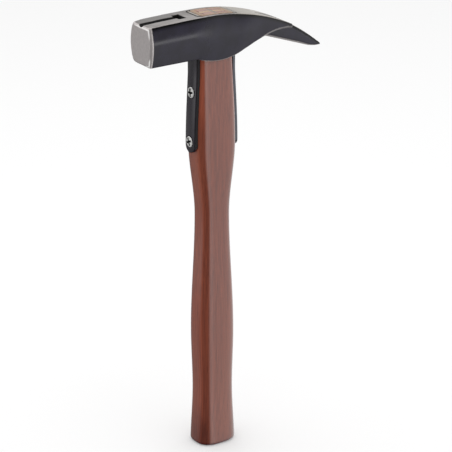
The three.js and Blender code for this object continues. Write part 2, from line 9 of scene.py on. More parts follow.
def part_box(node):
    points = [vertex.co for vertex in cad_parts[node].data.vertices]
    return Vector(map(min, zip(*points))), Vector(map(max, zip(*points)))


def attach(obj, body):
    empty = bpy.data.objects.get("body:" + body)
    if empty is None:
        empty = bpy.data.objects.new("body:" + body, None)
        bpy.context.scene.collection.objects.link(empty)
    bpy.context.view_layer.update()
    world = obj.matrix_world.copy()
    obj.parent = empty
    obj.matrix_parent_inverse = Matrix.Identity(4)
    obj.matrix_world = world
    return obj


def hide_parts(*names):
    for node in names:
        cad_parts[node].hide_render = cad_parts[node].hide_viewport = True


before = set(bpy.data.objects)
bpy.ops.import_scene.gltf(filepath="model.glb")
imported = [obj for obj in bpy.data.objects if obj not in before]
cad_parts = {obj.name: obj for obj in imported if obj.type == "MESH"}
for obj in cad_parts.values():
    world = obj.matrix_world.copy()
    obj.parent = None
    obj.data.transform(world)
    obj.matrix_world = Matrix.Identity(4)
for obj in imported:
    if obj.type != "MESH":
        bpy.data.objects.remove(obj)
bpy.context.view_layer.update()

# A lath hammer, standing on its butt. Metres, +Z up: the striking face looks along -X,
# the claw points along +X, and the pick is on the +Y side of the claw.

MM = 0.001
head_low, head_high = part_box("head")
strap_low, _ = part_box("front_strap")
magnet_low, magnet_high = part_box("nail_magnet")

# Fits
SEAT_GAP = 0.3 * MM
WEDGE_GAP = 0.1 * MM
CUT_PAST = 6 * MM

# Head
FACE_X = head_low.x
PICK_X = head_high.x
TOP_Z = head_high.z
POLL_HEIGHT = 29.6 * MM
UNDERSIDE_Z = TOP_Z - POLL_HEIGHT
FACE_CHAMFER = 1.5 * MM
BARE_PAST_CHAMFER = 0.9 * MM
TOP_WIDTH = 22.3 * MM
UNDERSIDE_WIDTH = 22.4 * MM
LOW_EDGE_RADIUS = 1 * MM
POLL_BULGE = 2.6 * MM
CHEEK_BULGE = 2.3 * MM
CLAW_BULGE = 0.5 * MM
BULGE_POWER = 1.7
POLL_BULGE_END = 30 * MM
CLAW_BULGE_START = 16 * MM
CROWN_START = 10 * MM
POLL_CROWN_RADIUS = 1050 * MM
CROWN_RADIUS = 158 * MM
PICK_CROWN_RADIUS = 200 * MM
CHEEK_DROP = 3.6 * MM
CHEEK_RADIUS = 46 * MM
CHEEK_EXIT = math.radians(24.2)
CHEEK_EXIT_X = CHEEK_RADIUS * math.sin(CHEEK_EXIT)
CHEEK_EXIT_Z = UNDERSIDE_Z - CHEEK_DROP + CHEEK_RADIUS * (1 - math.cos(CHEEK_EXIT))
ARCH_RADIUS = 43 * MM
ARCH_EXIT = math.radians(19.7)

# Claw tine and pick
PICK_TIP_OFFSET = 5.6 * MM
PICK_TIP_WIDTH = 0.8 * MM
PICK_TIP_THICKNESS = 1.5 * MM
PICK_TIP_ALLOWANCE = 0.1 * MM
PICK_BELLY = 2 * MM
PICK_ROOT_OFFSET = 0.4 * MM
PICK_TAPER_START = 36 * MM
PICK_EDGE_CHAMFER = 2 * MM
TINE_REACH = 61 * MM
TINE_TIP_THICKNESS = 1.7 * MM
TINE_EDGE_CHAMFER = 1.8 * MM
CLAW_CHAMFER_START = 29 * MM
CLAW_CHAMFER_FULL = 44 * MM
THROAT_RADIUS = 41 * MM
THROAT_LEVEL_BACK = 8 * MM
NOTCH_ROOT = 37 * MM
NOTCH_ROOT_WIDTH = 2.4 * MM
NOTCH_MOUTH_WIDTH = 7.4 * MM
NOTCH_BEVEL_WIDTH = 1 * MM
NOTCH_BEVEL_DEPTH = 2.6 * MM
NOTCH_BEVEL_RUNOUT = 8 * MM

# Nail holder
GROOVE_WIDTH = 4.2 * MM
GROOVE_DEPTH = 1.8 * MM
GROOVE_EDGE_CHAMFER = 0.4 * MM
POCKET_LENGTH = 5.8 * MM
POCKET_WIDTH = 10.4 * MM
POCKET_CORNER = 0.5 * MM
MAGNET_X = (magnet_low.x + magnet_high.x) / 2
MAGNET_RADIUS = (magnet_high.x - magnet_low.x) / 2
MAGNET_PROUD = 0.15 * MM

# Handle stations: height, half depth, half width, squareness
BUTT_EDGE_RADIUS = 2.6 * MM
TONGUE_Z = UNDERSIDE_Z + 8.5 * MM
HANDLE_STATIONS = np.array([
    (-10 * MM, 16.1 * MM, 13.2 * MM, 2.7),
    (44 * MM, 13.7 * MM, 11.2 * MM, 3.2),
    (88 * MM, 14.6 * MM, 12 * MM, 3.2),
    (UNDERSIDE_Z - 118.5 * MM, 11.45 * MM, 9.6 * MM, 3.4),
    (UNDERSIDE_Z - 64.5 * MM, 15.9 * MM, 11.1 * MM, 3.8),
    (TONGUE_Z, 13.2 * MM, 8.5 * MM, 5),
])
EYE_SQUARENESS = 9
EYE_CORNER_RADIUS = 3 * MM

# Straps and screws
STRAP_WIDTH = 12.6 * MM
STRAP_THICKNESS = 2.45 * MM
STRAP_CROWN = 0.7 * MM
STRAP_EYE_CROWN = 0.1 * MM
STRAP_CROWN_FADE = 15 * MM
STRAP_EDGE_CHAMFER = 0.5 * MM
STRAP_END_Z = strap_low.z
STRAP_ROOT_Z = UNDERSIDE_Z + 2 * MM
SCREW_RADIUS = 3.8 * MM
SCREW_SHANK_RADIUS = 1.8 * MM
SCREW_LENGTH = 14 * MM
SCREW_TIP_LENGTH = 4 * MM
SCREW_POINT = 0.1 * MM
SCREW_DOME = 0.7 * MM
SCREW_RIM = 0.18 * MM
SCREW_SEAT_GAP = 0.45 * MM
SCREW_RECESS_SPAN = 6.2 * MM
SCREW_RECESS_WIDTH = 1.6 * MM
SCREW_RECESS_DEPTH = 1.8 * MM
SCREW_RECESS_TAPER = 0.55
SCREW_FROM_END = 8.2 * MM
SCREW_PITCH = 35.6 * MM
SCREW_TURNS = {"front_upper": 8, "front_lower": 24, "rear_upper": 65, "rear_lower": 40}

# Mesh density
HEAD_STEP = 0.9 * MM
SIDE_STEPS = 24
CORNER_STEPS = 8
HEAD_VOXEL = 0.42 * MM
STRAP_VOXEL = 0.26 * MM
STRAP_STEPS = 21
HANDLE_STEP = 1.2 * MM
HANDLE_SIDES = 112
HANDLE_SAMPLES = 1441
EYE_STEP = 4 * HANDLE_STEP
ARC_STEPS = 2 * CORNER_STEPS
STRAP_END_STEPS = 6 * CORNER_STEPS
ROUND_SIDES = 56
EDGE_ROUNDS = 4
CORNER_ROUNDS = 40
ROUNDING_SHARE = 0.5
SHARPNESS_ROUNDS = 2
SHARP_HEIGHT = 0.25
SCREW_CREASE = math.radians(35)
HANDLE_CREASE = math.radians(40)

# Masks for the finishes: sizes, strengths, and pairs of limits between which a mask fades
MASK_BLUR = 0.2 * MM
# Edges of the bare steel are painted near white, part wear and part painted highlight; the face's rim
# is a painted highlight
EDGE_WEAR_AND_HIGHLIGHT = 0.6
RIM_HIGHLIGHT_WIDTH = 0.8 * MM
RIM_HIGHLIGHT_FAINT = 0.45
RIM_FADES = (0.15, 0.34)
RIM_RETURNS = (0.7, 0.84)
RIM_LOW_RUN = (0.5, 0.9)
RIM_NEAR_CORNER = (-0.45 * TOP_WIDTH, -0.25 * TOP_WIDTH)
SOFT_CORNER_SIDE = (0.3 * TOP_WIDTH, 0.42 * TOP_WIDTH)
SOFT_CORNER_BACK = (FACE_X + 2 * FACE_CHAMFER, FACE_X + 5 * FACE_CHAMFER)
SOFT_CORNER_LEVEL = (2 * MM, 5 * MM)
TINE_BEVEL_BARE = 0.45
TINE_BEVEL_FADES = (0.4, 0.7)
PICK_BEVEL_BARE = 0.95
PICK_BEVEL_GROWS = (0, 0.6)
LOW_EDGE_SIDE = (0.6 * LOW_EDGE_RADIUS, 1.2 * LOW_EDGE_RADIUS)
LOW_EDGE_FAINT = 0.3
EYE_JOINT = 0.8 * MM
EYE_JOINT_FAINT = 0.4
# Painted shade: the width of the darker band of paint under the top edge
SHADE_UNDER_TOP_BAND = 1.8 * MM
FACING = (0.8, 0.97)


# Small sums

def lerp(low, high, share):
    return low + (high - low) * share


def smoothstep(value, low, high):
    share = np.clip((value - low) / (high - low), 0, 1)
    return share * share * (3 - 2 * share)


def fade(value, low, high):
    return 1 - smoothstep(value, low, high)


def rise(radius, distance):
    """How far an arc has left its tangent at a distance along it."""
    return radius - np.sqrt(radius**2 - np.square(distance))


def spaced(low, high, step):
    """Even stations from low to high, at most a step apart."""
    return np.linspace(low, high, max(2, math.ceil((high - low) / step) + 1))


# Mesh building

def new_object(name, data):
    made = bpy.data.objects.new(name, data)
    bpy.context.scene.collection.objects.link(made)
    return made


def new_piece(name, points, faces):
    mesh = bpy.data.meshes.new(name)
    mesh.from_pydata(np.asarray(points).tolist(), [], faces)
    shell = bmesh.new()
    shell.from_mesh(mesh)
    bmesh.ops.recalc_face_normals(shell, faces=shell.faces)
    shell.to_mesh(mesh)
    shell.free()
    return new_object(name, mesh)


def loft(rings, name="waste"):
    """A closed skin over rings of equal length."""
    rings = np.asarray(rings, float)
    here = np.arange(rings.shape[0] * rings.shape[1]).reshape(rings.shape[:2])
    beside = np.roll(here, -1, axis=1)
    walls = np.stack([here[:-1], beside[:-1], beside[1:], here[1:]], axis=-1)
    faces = walls.reshape(-1, 4).tolist()
    return new_piece(name, rings.reshape(-1, 3), [*faces, here[0].tolist(), here[-1].tolist()])


def prism(outline, axis, low, high):
    """An outline in the other two axes, given length along one axis."""
    return loft([np.insert(outline, axis, level, axis=1) for level in (low, high)])


def settle(piece):
    """Keeps what a piece's modifiers make of its mesh."""
    bpy.context.view_layer.update()
    view = bpy.context.evaluated_depsgraph_get()
    made = bpy.data.meshes.new_from_object(piece.evaluated_get(view))
    piece.modifiers.clear()
    old, piece.data = piece.data, made
    bpy.data.meshes.remove(old)
    made.name = piece.name


def carve(piece, cutter, operation="DIFFERENCE"):
    modifier = piece.modifiers.new("carve", "BOOLEAN")
    modifier.operation = operation
    modifier.solver = "EXACT"
    modifier.object = cutter
    settle(piece)
    bpy.data.objects.remove(cutter)


def even_skin(piece, voxel):
    modifier = piece.modifiers.new("skin", "REMESH")
    modifier.mode = "VOXEL"
    modifier.voxel_size = voxel
    settle(piece)


def vectors(items, field):
    values = np.empty(len(items) * 3)
    items.foreach_get(field, values)
    return values.reshape(-1, 3)


def points_of(mesh):
    return vectors(mesh.vertices, "co")


def normals_of(mesh):
    return vectors(mesh.vertex_normals, "vector")


def neighbour_means(mesh):
    """A function from values at the points to the mean over each point's neighbours."""
    edges = np.empty(len(mesh.edges) * 2, int)
    mesh.edges.foreach_get("vertices", edges)
    start, end = edges.reshape(-1, 2).T
    here, there = np.concatenate([start, end]), np.concatenate([end, start])
    count = len(mesh.vertices)
    degree = np.bincount(here, minlength=count)

    def means(values):
        sums = [np.bincount(here, column[there], count) for column in values.T]
        return np.stack(sums, axis=1) / degree[:, None]

    return means


def relax(mesh, rounds, share=ROUNDING_SHARE):
    """Rounds off edges: each point goes a share of the way to its neighbours' mean."""
    points = points_of(mesh)
    means = neighbour_means(mesh)
    for _ in range(rounds):
        points = lerp(points, means(points), share)
    mesh.vertices.foreach_set("co", points.ravel())
    mesh.update()


def edge_sharpness(mesh, voxel):
    """How convex the skin is at each point: 0 where flat, 1 on an edge."""
    points = points_of(mesh)
    means = neighbour_means(mesh)
    height = np.sum((points - means(points)) * normals_of(mesh), axis=1)
    for _ in range(SHARPNESS_ROUNDS):
        height = means(height[:, None])[:, 0]
    return np.clip(height / (SHARP_HEIGHT * voxel), 0, 1)


def paint(mesh, domain="POINT", **masks):
    for name, values in masks.items():
        layer = mesh.attributes.new(name, "FLOAT", domain)
        layer.data.foreach_set("value", np.asarray(values, np.float32))


# Head outline

def top_at(x):
    """Height of the ground top: almost level over the poll, then two arcs down to the pick."""
    run = x + CROWN_START
    tine_run = TINE_REACH + CROWN_START
    sine = tine_run / CROWN_RADIUS
    further = sine + np.maximum(run - tine_run, 0) / PICK_CROWN_RADIUS
    drop = PICK_CROWN_RADIUS * (math.sqrt(1 - sine**2) - np.sqrt(1 - further**2))
    crown = rise(CROWN_RADIUS, np.clip(run, 0, tine_run))
    return TOP_Z - rise(POLL_CROWN_RADIUS, np.minimum(run, 0)) - crown - drop


def underside_at(x):
    """Level under the poll, a hanging cheek, an arch under the pick, a straight run."""
    cheek = UNDERSIDE_Z - CHEEK_DROP + rise(CHEEK_RADIUS, np.minimum(np.abs(x), CHEEK_RADIUS))
    cheek = np.where(x < 0, np.minimum(UNDERSIDE_Z, cheek), cheek)
    crest = CHEEK_EXIT_X + ARCH_RADIUS * math.sin(CHEEK_EXIT)
    crest_z = CHEEK_EXIT_Z + ARCH_RADIUS * (1 - math.cos(CHEEK_EXIT))
    arch_exit = crest + ARCH_RADIUS * math.sin(ARCH_EXIT)
    on_arch = np.clip(x, CHEEK_EXIT_X, arch_exit)
    fall = np.maximum(x - arch_exit, 0) * math.tan(ARCH_EXIT)
    arch = crest_z - rise(ARCH_RADIUS, on_arch - crest) - fall
    tip = top_at(PICK_X) - PICK_TIP_THICKNESS
    blend = np.maximum(PICK_BELLY - np.abs(arch - tip), 0)
    arch = np.maximum(arch, tip) + blend**2 / (4 * PICK_BELLY)
    return np.where(x <= CHEEK_EXIT_X, cheek, arch)


def half_width_at(x, share):
    """Half width of the head at a share of its height, counted from the top."""
    poll = lerp(POLL_BULGE, CHEEK_BULGE, smoothstep(x, -POLL_BULGE_END, 0))
    claw = lerp(CHEEK_BULGE, CLAW_BULGE, smoothstep(x, CLAW_BULGE_START, NOTCH_ROOT))
    bulge = np.where(x < 0, poll, claw) * (1 - np.abs(1 - 2 * share) ** BULGE_POWER)
    return lerp(TOP_WIDTH, UNDERSIDE_WIDTH, share) / 2 + bulge


def head_ring(x, inset):
    top, bottom = top_at(x) - inset, underside_at(x) + inset
    radius = min(LOW_EDGE_RADIUS, (top - bottom) / 2)
    share = np.linspace(0, 1, SIDE_STEPS, endpoint=False)
    angle = np.linspace(0, math.pi / 2, CORNER_STEPS + 1)
    corner_y = UNDERSIDE_WIDTH / 2 - radius * (1 - np.cos(angle))
    y = np.concatenate([half_width_at(x, share), corner_y]) - inset
    corner_z = bottom + radius * (1 - np.sin(angle))
    z = np.concatenate([lerp(top, bottom + radius, share), corner_z])
    near = np.stack([np.full_like(y, x), -y, z], axis=1)
    return np.concatenate([near[::-1] * (1, -1, 1), near])


# Claw tine and pick

def pick_wall_at(x):
    tip_wall = PICK_TIP_OFFSET - PICK_TIP_WIDTH / 2
    return lerp(PICK_ROOT_OFFSET, tip_wall, (x - NOTCH_ROOT) / (PICK_X - NOTCH_ROOT))


def pick_outer_at(x):
    tip = PICK_TIP_OFFSET + PICK_TIP_WIDTH / 2
    start = TOP_WIDTH / 2 + CLAW_BULGE
    return lerp(start, tip, (x - PICK_TAPER_START) / (PICK_X - PICK_TAPER_START))


def tine_wall_at(x):
    root = pick_wall_at(NOTCH_ROOT) - NOTCH_ROOT_WIDTH
    mouth = pick_wall_at(TINE_REACH) - NOTCH_MOUTH_WIDTH
    return lerp(root, mouth, (x - NOTCH_ROOT) / (TINE_REACH - NOTCH_ROOT))


def throat_edge_at(x):
    """Lower outer edge of the tine: straight on from the cheek, then an arc near the tip."""
    level_x = TINE_REACH - THROAT_LEVEL_BACK
    tip_z = top_at(TINE_REACH) - TINE_TIP_THICKNESS
    level_z = tip_z + rise(THROAT_RADIUS, THROAT_LEVEL_BACK)
    bend_x = level_x - THROAT_RADIUS * math.sin(CHEEK_EXIT)
    on_arc = np.maximum(x, bend_x)
    fall = (on_arc - x) * math.tan(CHEEK_EXIT)
    return level_z - rise(THROAT_RADIUS, on_arc - level_x) - fall


def chamfer_within(size, *spans):
    """A chamfer kept within half of the thickness and the width at hand."""
    return np.clip(np.minimum.reduce(spans) / 2, 0, size)


def pick_spans_at(x):
    return pick_outer_at(x) - pick_wall_at(x), top_at(x) - underside_at(x)


def throat_at(x):
    """The hollow under the tine: the tine's side, edge and ceiling, and the pick's sill."""
    edge = throat_edge_at(np.minimum(x, TINE_REACH))
    side_height = top_at(x) - underside_at(x) - LOW_EDGE_RADIUS
    side = -half_width_at(x, np.clip((top_at(x) - edge) / side_height, 0, 1))
    grown = smoothstep(x, CLAW_CHAMFER_START, CLAW_CHAMFER_FULL)
    ceiling = edge - grown * TINE_EDGE_CHAMFER
    sill = underside_at(x) + grown * chamfer_within(PICK_EDGE_CHAMFER, *pick_spans_at(x))
    return side, edge, ceiling, np.minimum(sill, ceiling - SEAT_GAP)


def throat_waste():
    outside = -TOP_WIDTH
    rings = []
    for x in spaced(CHEEK_EXIT_X - CUT_PAST / 2, PICK_X + CUT_PAST, HEAD_STEP):
        wall = pick_wall_at(x)
        side, edge, ceiling, sill = throat_at(x)
        rings.append([
            (x, outside, sill - CUT_PAST),
            (x, wall + CUT_PAST, sill - CUT_PAST),
            (x, wall, sill),
            (x, wall, ceiling),
            (x, side + edge - ceiling, ceiling),
            (x, outside, edge + side - outside),
        ])
    return loft(rings)


def bevel_ring(x, wall, width, depth, towards):
    """A bevel on the notch's upper edge, which grows from nothing at the notch's root."""
    top = top_at(x)
    grown = smoothstep(x, NOTCH_ROOT, NOTCH_ROOT + NOTCH_BEVEL_RUNOUT)
    start = wall - towards * width * (1 - grown)
    over = CUT_PAST / NOTCH_BEVEL_DEPTH
    under = SEAT_GAP / NOTCH_BEVEL_DEPTH
    back = start - towards * width * under
    return [
        (x, back, top - depth * (1 + under)),
        (x, start + towards * width * (1 + over), top + depth * over),
        (x, back, top + depth * over),
    ]


def pick_bevel_waste():
    rings = []
    for x in spaced(NOTCH_ROOT, PICK_X + CUT_PAST / 2, HEAD_STEP):
        across, thickness = pick_spans_at(min(x, PICK_X))
        width = chamfer_within(NOTCH_BEVEL_WIDTH, across)
        depth = chamfer_within(NOTCH_BEVEL_DEPTH, thickness)
        rings.append(bevel_ring(x, pick_wall_at(x), width, depth, 1))
    return loft(rings)


def tine_bevel_waste():
    rings = []
    for x in spaced(NOTCH_ROOT, TINE_REACH, HEAD_STEP):
        thickness = top_at(x) - throat_edge_at(x) + TINE_EDGE_CHAMFER
        depth = chamfer_within(NOTCH_BEVEL_DEPTH, thickness)
        rings.append(bevel_ring(x, tine_wall_at(x), NOTCH_BEVEL_WIDTH, depth, -1))
    return loft(rings)


def notch_waste():
    past = PICK_X + CUT_PAST
    share = np.linspace(0, 1, ARC_STEPS + 1)[:, None]
    far = np.array((NOTCH_ROOT, pick_wall_at(NOTCH_ROOT)))
    near = np.array((NOTCH_ROOT, tine_wall_at(NOTCH_ROOT)))
    middle = (far + near) / 2 - (NOTCH_ROOT_WIDTH, 0)
    root = (1 - share) ** 2 * far + 2 * share * (1 - share) * middle + share**2 * near
    outline = [
        (past, pick_wall_at(past)),
        *root,
        (TINE_REACH, tine_wall_at(TINE_REACH)),
        (TINE_REACH, -TOP_WIDTH),
        (past, -TOP_WIDTH),
    ]
    return prism(outline, 2, UNDERSIDE_Z - POLL_HEIGHT, TOP_Z + CUT_PAST)


def pick_taper_waste():
    past = PICK_X + CUT_PAST
    outline = [
        (PICK_TAPER_START, pick_outer_at(PICK_TAPER_START)),
        (past, pick_outer_at(past)),
        (past, TOP_WIDTH),
        (PICK_TAPER_START, TOP_WIDTH),
    ]
    return prism(outline, 2, UNDERSIDE_Z - POLL_HEIGHT, TOP_Z + CUT_PAST)


# Nail holder

def groove_waste():
    half = GROOVE_WIDTH / 2
    past = half + GROOVE_EDGE_CHAMFER + CUT_PAST
    angle = np.linspace(math.pi, 2 * math.pi, ARC_STEPS + 1)
    floor_z = (GROOVE_DEPTH - GROOVE_EDGE_CHAMFER) * np.sin(angle) - GROOVE_EDGE_CHAMFER
    floor = np.stack([half * np.cos(angle), floor_z], axis=1)
    section = np.array([(-past, CUT_PAST), *floor, (past, CUT_PAST)])
    stations = spaced(FACE_X - CUT_PAST, MAGNET_X, HEAD_STEP)
    return loft([np.insert(section + (0, top_at(x)), 0, x, axis=1) for x in stations])


def rounded_rectangle(half_x, half_y, radius):
    points = []
    for corner in range(4):
        to_x = 1 if corner in (0, 3) else -1
        to_y = 1 if corner < 2 else -1
        for angle in np.linspace(corner, corner + 1, CORNER_STEPS + 1) * math.pi / 2:
            x = to_x * (half_x - radius) + radius * math.cos(angle)
            points.append((x, to_y * (half_y - radius) + radius * math.sin(angle)))
    return np.array(points)


def pocket_waste():
    outline = rounded_rectangle(POCKET_LENGTH / 2, POCKET_WIDTH / 2, POCKET_CORNER)
    return prism(outline + (MAGNET_X, 0), 2, magnet_high.z, TOP_Z + CUT_PAST)


def above_top():
    """What stands above the ground top, for grinding what fills the eye flush."""
    edge = spaced(FACE_X, TINE_REACH, HEAD_STEP)
    lid = TOP_Z + CUT_PAST
    outline = [*zip(edge, top_at(edge)), (TINE_REACH, lid), (FACE_X, lid)]
    return prism(outline, 1, -TOP_WIDTH, TOP_WIDTH)


# Handle and straps

def handle_at(z):
    """Half depth, half width and squareness of the handle at a height."""
    above = np.clip(np.searchsorted(HANDLE_STATIONS[:, 0], z), 1, len(HANDLE_STATIONS) - 1)
    low, high = HANDLE_STATIONS[above - 1], HANDLE_STATIONS[above]
    return lerp(low, high, smoothstep(z, low[0], high[0]))[1:]


def handle_ring(z, inset):
    """One cross-section: a superellipse with its points evenly spaced, squarer in the eye."""
    depth, width, squareness = handle_at(z)
    squareness = lerp(squareness, EYE_SQUARENESS, smoothstep(z, UNDERSIDE_Z - CHEEK_DROP, TONGUE_Z))
    angle = np.linspace(0, 2 * math.pi, HANDLE_SAMPLES)

    def bend(value):
        return np.sign(value) * np.abs(value) ** (2 / squareness)

    x, y = (depth - inset) * bend(np.cos(angle)), (width - inset) * bend(np.sin(angle))
    along = np.insert(np.cumsum(np.hypot(np.diff(x), np.diff(y))), 0, 0)
    even = np.linspace(0, along[-1], HANDLE_SIDES, endpoint=False)
    x, y = np.interp(even, along, x), np.interp(even, along, y)
    return np.stack([x, y, np.full_like(x, z)], axis=1)


def strap_face_at(z):
    return handle_at(z)[0] + SEAT_GAP + STRAP_THICKNESS


def eye_solid(inset):
    """The eye: a rounded rectangle around the tongue and both straps."""
    rings = []
    for z in spaced(UNDERSIDE_Z - CHEEK_DROP - CUT_PAST, TOP_Z + CUT_PAST, EYE_STEP):
        half_x = strap_face_at(z) + SEAT_GAP - inset
        half_y = handle_at(z)[1] + SEAT_GAP - inset
        outline = rounded_rectangle(half_x, half_y, EYE_CORNER_RADIUS - inset)
        rings.append(np.insert(outline, 2, z, axis=1))
    return loft(rings)


def strap_ring(z, side, half):
    """One cross-section of a strap: crowned outside and inside, with broken outer edges."""
    in_eye = smoothstep(z, UNDERSIDE_Z - STRAP_CROWN_FADE, UNDERSIDE_Z)
    crown = lerp(STRAP_CROWN, STRAP_EYE_CROWN, in_eye)
    shoulder = half - STRAP_EDGE_CHAMFER
    y = np.array([-half, *np.linspace(-shoulder, shoulder, STRAP_STEPS), half])
    inner = strap_face_at(z) - STRAP_THICKNESS - crown * (y / (STRAP_WIDTH / 2)) ** 2
    outer = inner + STRAP_THICKNESS - np.where(np.abs(y) < half, 0, STRAP_EDGE_CHAMFER)
    x = np.concatenate([outer, inner[::-1]])
    y = np.concatenate([y, y[::-1]])
    return np.stack([side * x, y, np.full_like(x, z)], axis=1)


def strap_outline():
    """A strap's outline from the front: straight, with a round lower end."""
    half = STRAP_WIDTH / 2
    angle = np.linspace(math.pi, 2 * math.pi, STRAP_END_STEPS + 1)
    end = np.stack([half * np.cos(angle), STRAP_END_Z + half * (1 + np.sin(angle))], axis=1)
    wide, lid = half + CUT_PAST, TOP_Z + 2 * CUT_PAST
    level = STRAP_END_Z + half
    reach = strap_face_at(level) + CUT_PAST
    outline = [(wide, lid), (-wide, lid), (-wide, level), *end, (wide, level)]
    return prism(outline, 0, -reach, reach)


# Screws

def lathe(profile, name="waste"):
    """A solid of revolution about Z, from (radius, height) points, tip first."""
    angle = np.linspace(0, 2 * math.pi, ROUND_SIDES, endpoint=False)
    circle = np.stack([np.cos(angle), np.sin(angle), np.zeros_like(angle)], axis=1)
    return loft([radius * circle + (0, 0, height) for radius, height in profile], name)


def screw_place(side, z):
    """Where a screw sits: on the strap's crown line, square to it."""
    slope = (strap_face_at(z + MM) - strap_face_at(z - MM)) / (2 * MM)
    outward = Vector((side, 0, -slope)).normalized()
    turn = outward.to_track_quat("Z", "Y").to_matrix().to_4x4()
    return Matrix.Translation((side * strap_face_at(z), 0, z)) @ turn


def screw_profile(clearance):
    head, shank = SCREW_RADIUS + clearance, SCREW_SHANK_RADIUS + clearance
    tip = -SCREW_LENGTH - clearance
    return [(SCREW_POINT, tip), (shank, tip + SCREW_TIP_LENGTH), (shank, shank - head), (head, 0)]


def screw_hole(place):
    mouth = (SCREW_RADIUS + SCREW_SEAT_GAP, CUT_PAST)
    cutter = lathe([*screw_profile(SCREW_SEAT_GAP), mouth])
    cutter.data.transform(place)
    return cutter


def recess_waste():
    """A cross that narrows as it goes down."""
    arm, half = SCREW_RECESS_SPAN / 2, SCREW_RECESS_WIDTH / 2
    quarter = np.array([(arm, -half), (arm, half), (half, half)])
    turn = np.array([(0, 1), (-1, 0)])
    cross = np.concatenate([quarter @ np.linalg.matrix_power(turn, k) for k in range(4)])
    floor = SCREW_DOME - SCREW_RECESS_DEPTH
    rings = []
    for z in (floor, SCREW_DOME + MM):
        scale = lerp(SCREW_RECESS_TAPER, 1, (z - floor) / SCREW_RECESS_DEPTH)
        rings.append(np.insert(cross * scale, 2, z, axis=1))
    return loft(rings)


def make_screw(name, side, z, turn):
    rim = SCREW_RADIUS - SCREW_RIM
    lift = SCREW_DOME - SCREW_RIM
    bend = np.linspace(0, math.pi / 2, CORNER_STEPS + 1)[:-1]
    dome = [(rim * math.cos(angle), SCREW_RIM + lift * math.sin(angle)) for angle in bend]
    screw = lathe([*screw_profile(0), *dome, (SCREW_POINT, SCREW_DOME)], name)
    carve(screw, recess_waste())
    x, y, level = np.array([face.center for face in screw.data.polygons]).T
    dome_level = SCREW_RIM + lift * np.sqrt(np.clip(1 - (x**2 + y**2) / rim**2, 0, 1))
    paint(screw.data, "FACE", recess=level < dome_level - MASK_BLUR / 2)
    screw.data.shade_smooth()
    screw.data.set_sharp_from_angle(angle=SCREW_CREASE)
    screw.matrix_world = screw_place(side, z) @ Matrix.Rotation(math.radians(turn), 4, "Z")
    return screw


# Pieces

def claw_bevels(x, y, z):
    """How bare the bevels along the lower edges of the tine and the pick are, else 0."""
    side, edge, ceiling, sill = throat_at(x)
    wall, slack = pick_wall_at(x), 2 * MASK_BLUR
    on_tine = np.abs(y - side + z - edge) < slack
    on_tine &= (z < edge + slack) & (z > ceiling - slack) & (x < TINE_REACH + slack)
    on_pick = np.abs(y - wall + z - sill) < slack
    on_pick &= (z < sill + slack) & (y > wall - slack) & (x > CLAW_CHAMFER_START)
    down_tine = (edge - z) / np.maximum(edge - ceiling, MASK_BLUR)
    down_pick = (sill - z) / np.maximum(sill - underside_at(x), MASK_BLUR)
    tine = TINE_BEVEL_BARE * on_tine * fade(down_tine, *TINE_BEVEL_FADES)
    pick = PICK_BEVEL_BARE * on_pick * smoothstep(down_pick, *PICK_BEVEL_GROWS)
    return smoothstep(x, CLAW_CHAMFER_START, NOTCH_ROOT) * np.maximum(tine, pick)


def painted_rim_highlight(x, y, z):
    """Painted highlight: 1 on the inner edge of the face's chamfer, faint away from its top and its
    near corners.
    """
    top, bottom = top_at(x), underside_at(x)
    down = np.clip((top - z) / (top - bottom), 0, 1)
    inset = np.minimum.reduce([half_width_at(x, down) - np.abs(y), top - z, z - bottom])
    rim = fade(np.abs(inset - FACE_CHAMFER), RIM_HIGHLIGHT_WIDTH / 4, RIM_HIGHLIGHT_WIDTH)
    middle = smoothstep(down, *RIM_FADES) * fade(down, *RIM_RETURNS)
    low_run = smoothstep(down, *RIM_LOW_RUN) * smoothstep(y, *RIM_NEAR_CORNER)
    faint = np.maximum.reduce([middle, low_run, smoothstep(y, 0, TOP_WIDTH / 2)])
    return rim * (x < FACE_X + FACE_CHAMFER) * lerp(1, RIM_HIGHLIGHT_FAINT, faint)


def face_corners(x, y, z):
    """1 at the striking face's far corners, which are softer than the near ones, else 0."""
    from_level = np.minimum(top_at(x) - z, z - underside_at(x))
    far = smoothstep(y, *SOFT_CORNER_SIDE)
    return far * fade(x, *SOFT_CORNER_BACK) * fade(from_level, *SOFT_CORNER_LEVEL)


def worn_edge(x, y, z):
    """1 along the lower edges of the cheek, fainter along those of the poll and the claw, else 0:
    paler paint there, part wear and part painted highlight.
    """
    low = fade(z - underside_at(x), LOW_EDGE_RADIUS / 2, LOW_EDGE_RADIUS)
    outer = fade(UNDERSIDE_WIDTH / 2 - np.abs(y), *LOW_EDGE_SIDE)
    cheek = smoothstep(x, -CHEEK_EXIT_X, -CHEEK_EXIT_X / 2) * fade(x, CHEEK_EXIT_X, NOTCH_ROOT)
    return low * outer * lerp(LOW_EDGE_FAINT, 1, cheek)


def eye_joint(x, y):
    """1 along the outline of the eye in the head's top, fainter away from its front end."""
    radius = EYE_CORNER_RADIUS
    out_x = np.abs(x) - strap_face_at(TOP_Z) - SEAT_GAP / 2 + radius
    out_y = np.abs(y) - handle_at(TOP_Z)[1] - SEAT_GAP / 2 + radius
    outside = np.hypot(np.maximum(out_x, 0), np.maximum(out_y, 0))
    distance = outside + np.minimum(np.maximum(out_x, out_y), 0) - radius
    joint = fade(np.abs(distance), EYE_JOINT / 2, EYE_JOINT)
    return joint * lerp(1, EYE_JOINT_FAINT, smoothstep(x, -strap_face_at(TOP_Z), -CROWN_START))


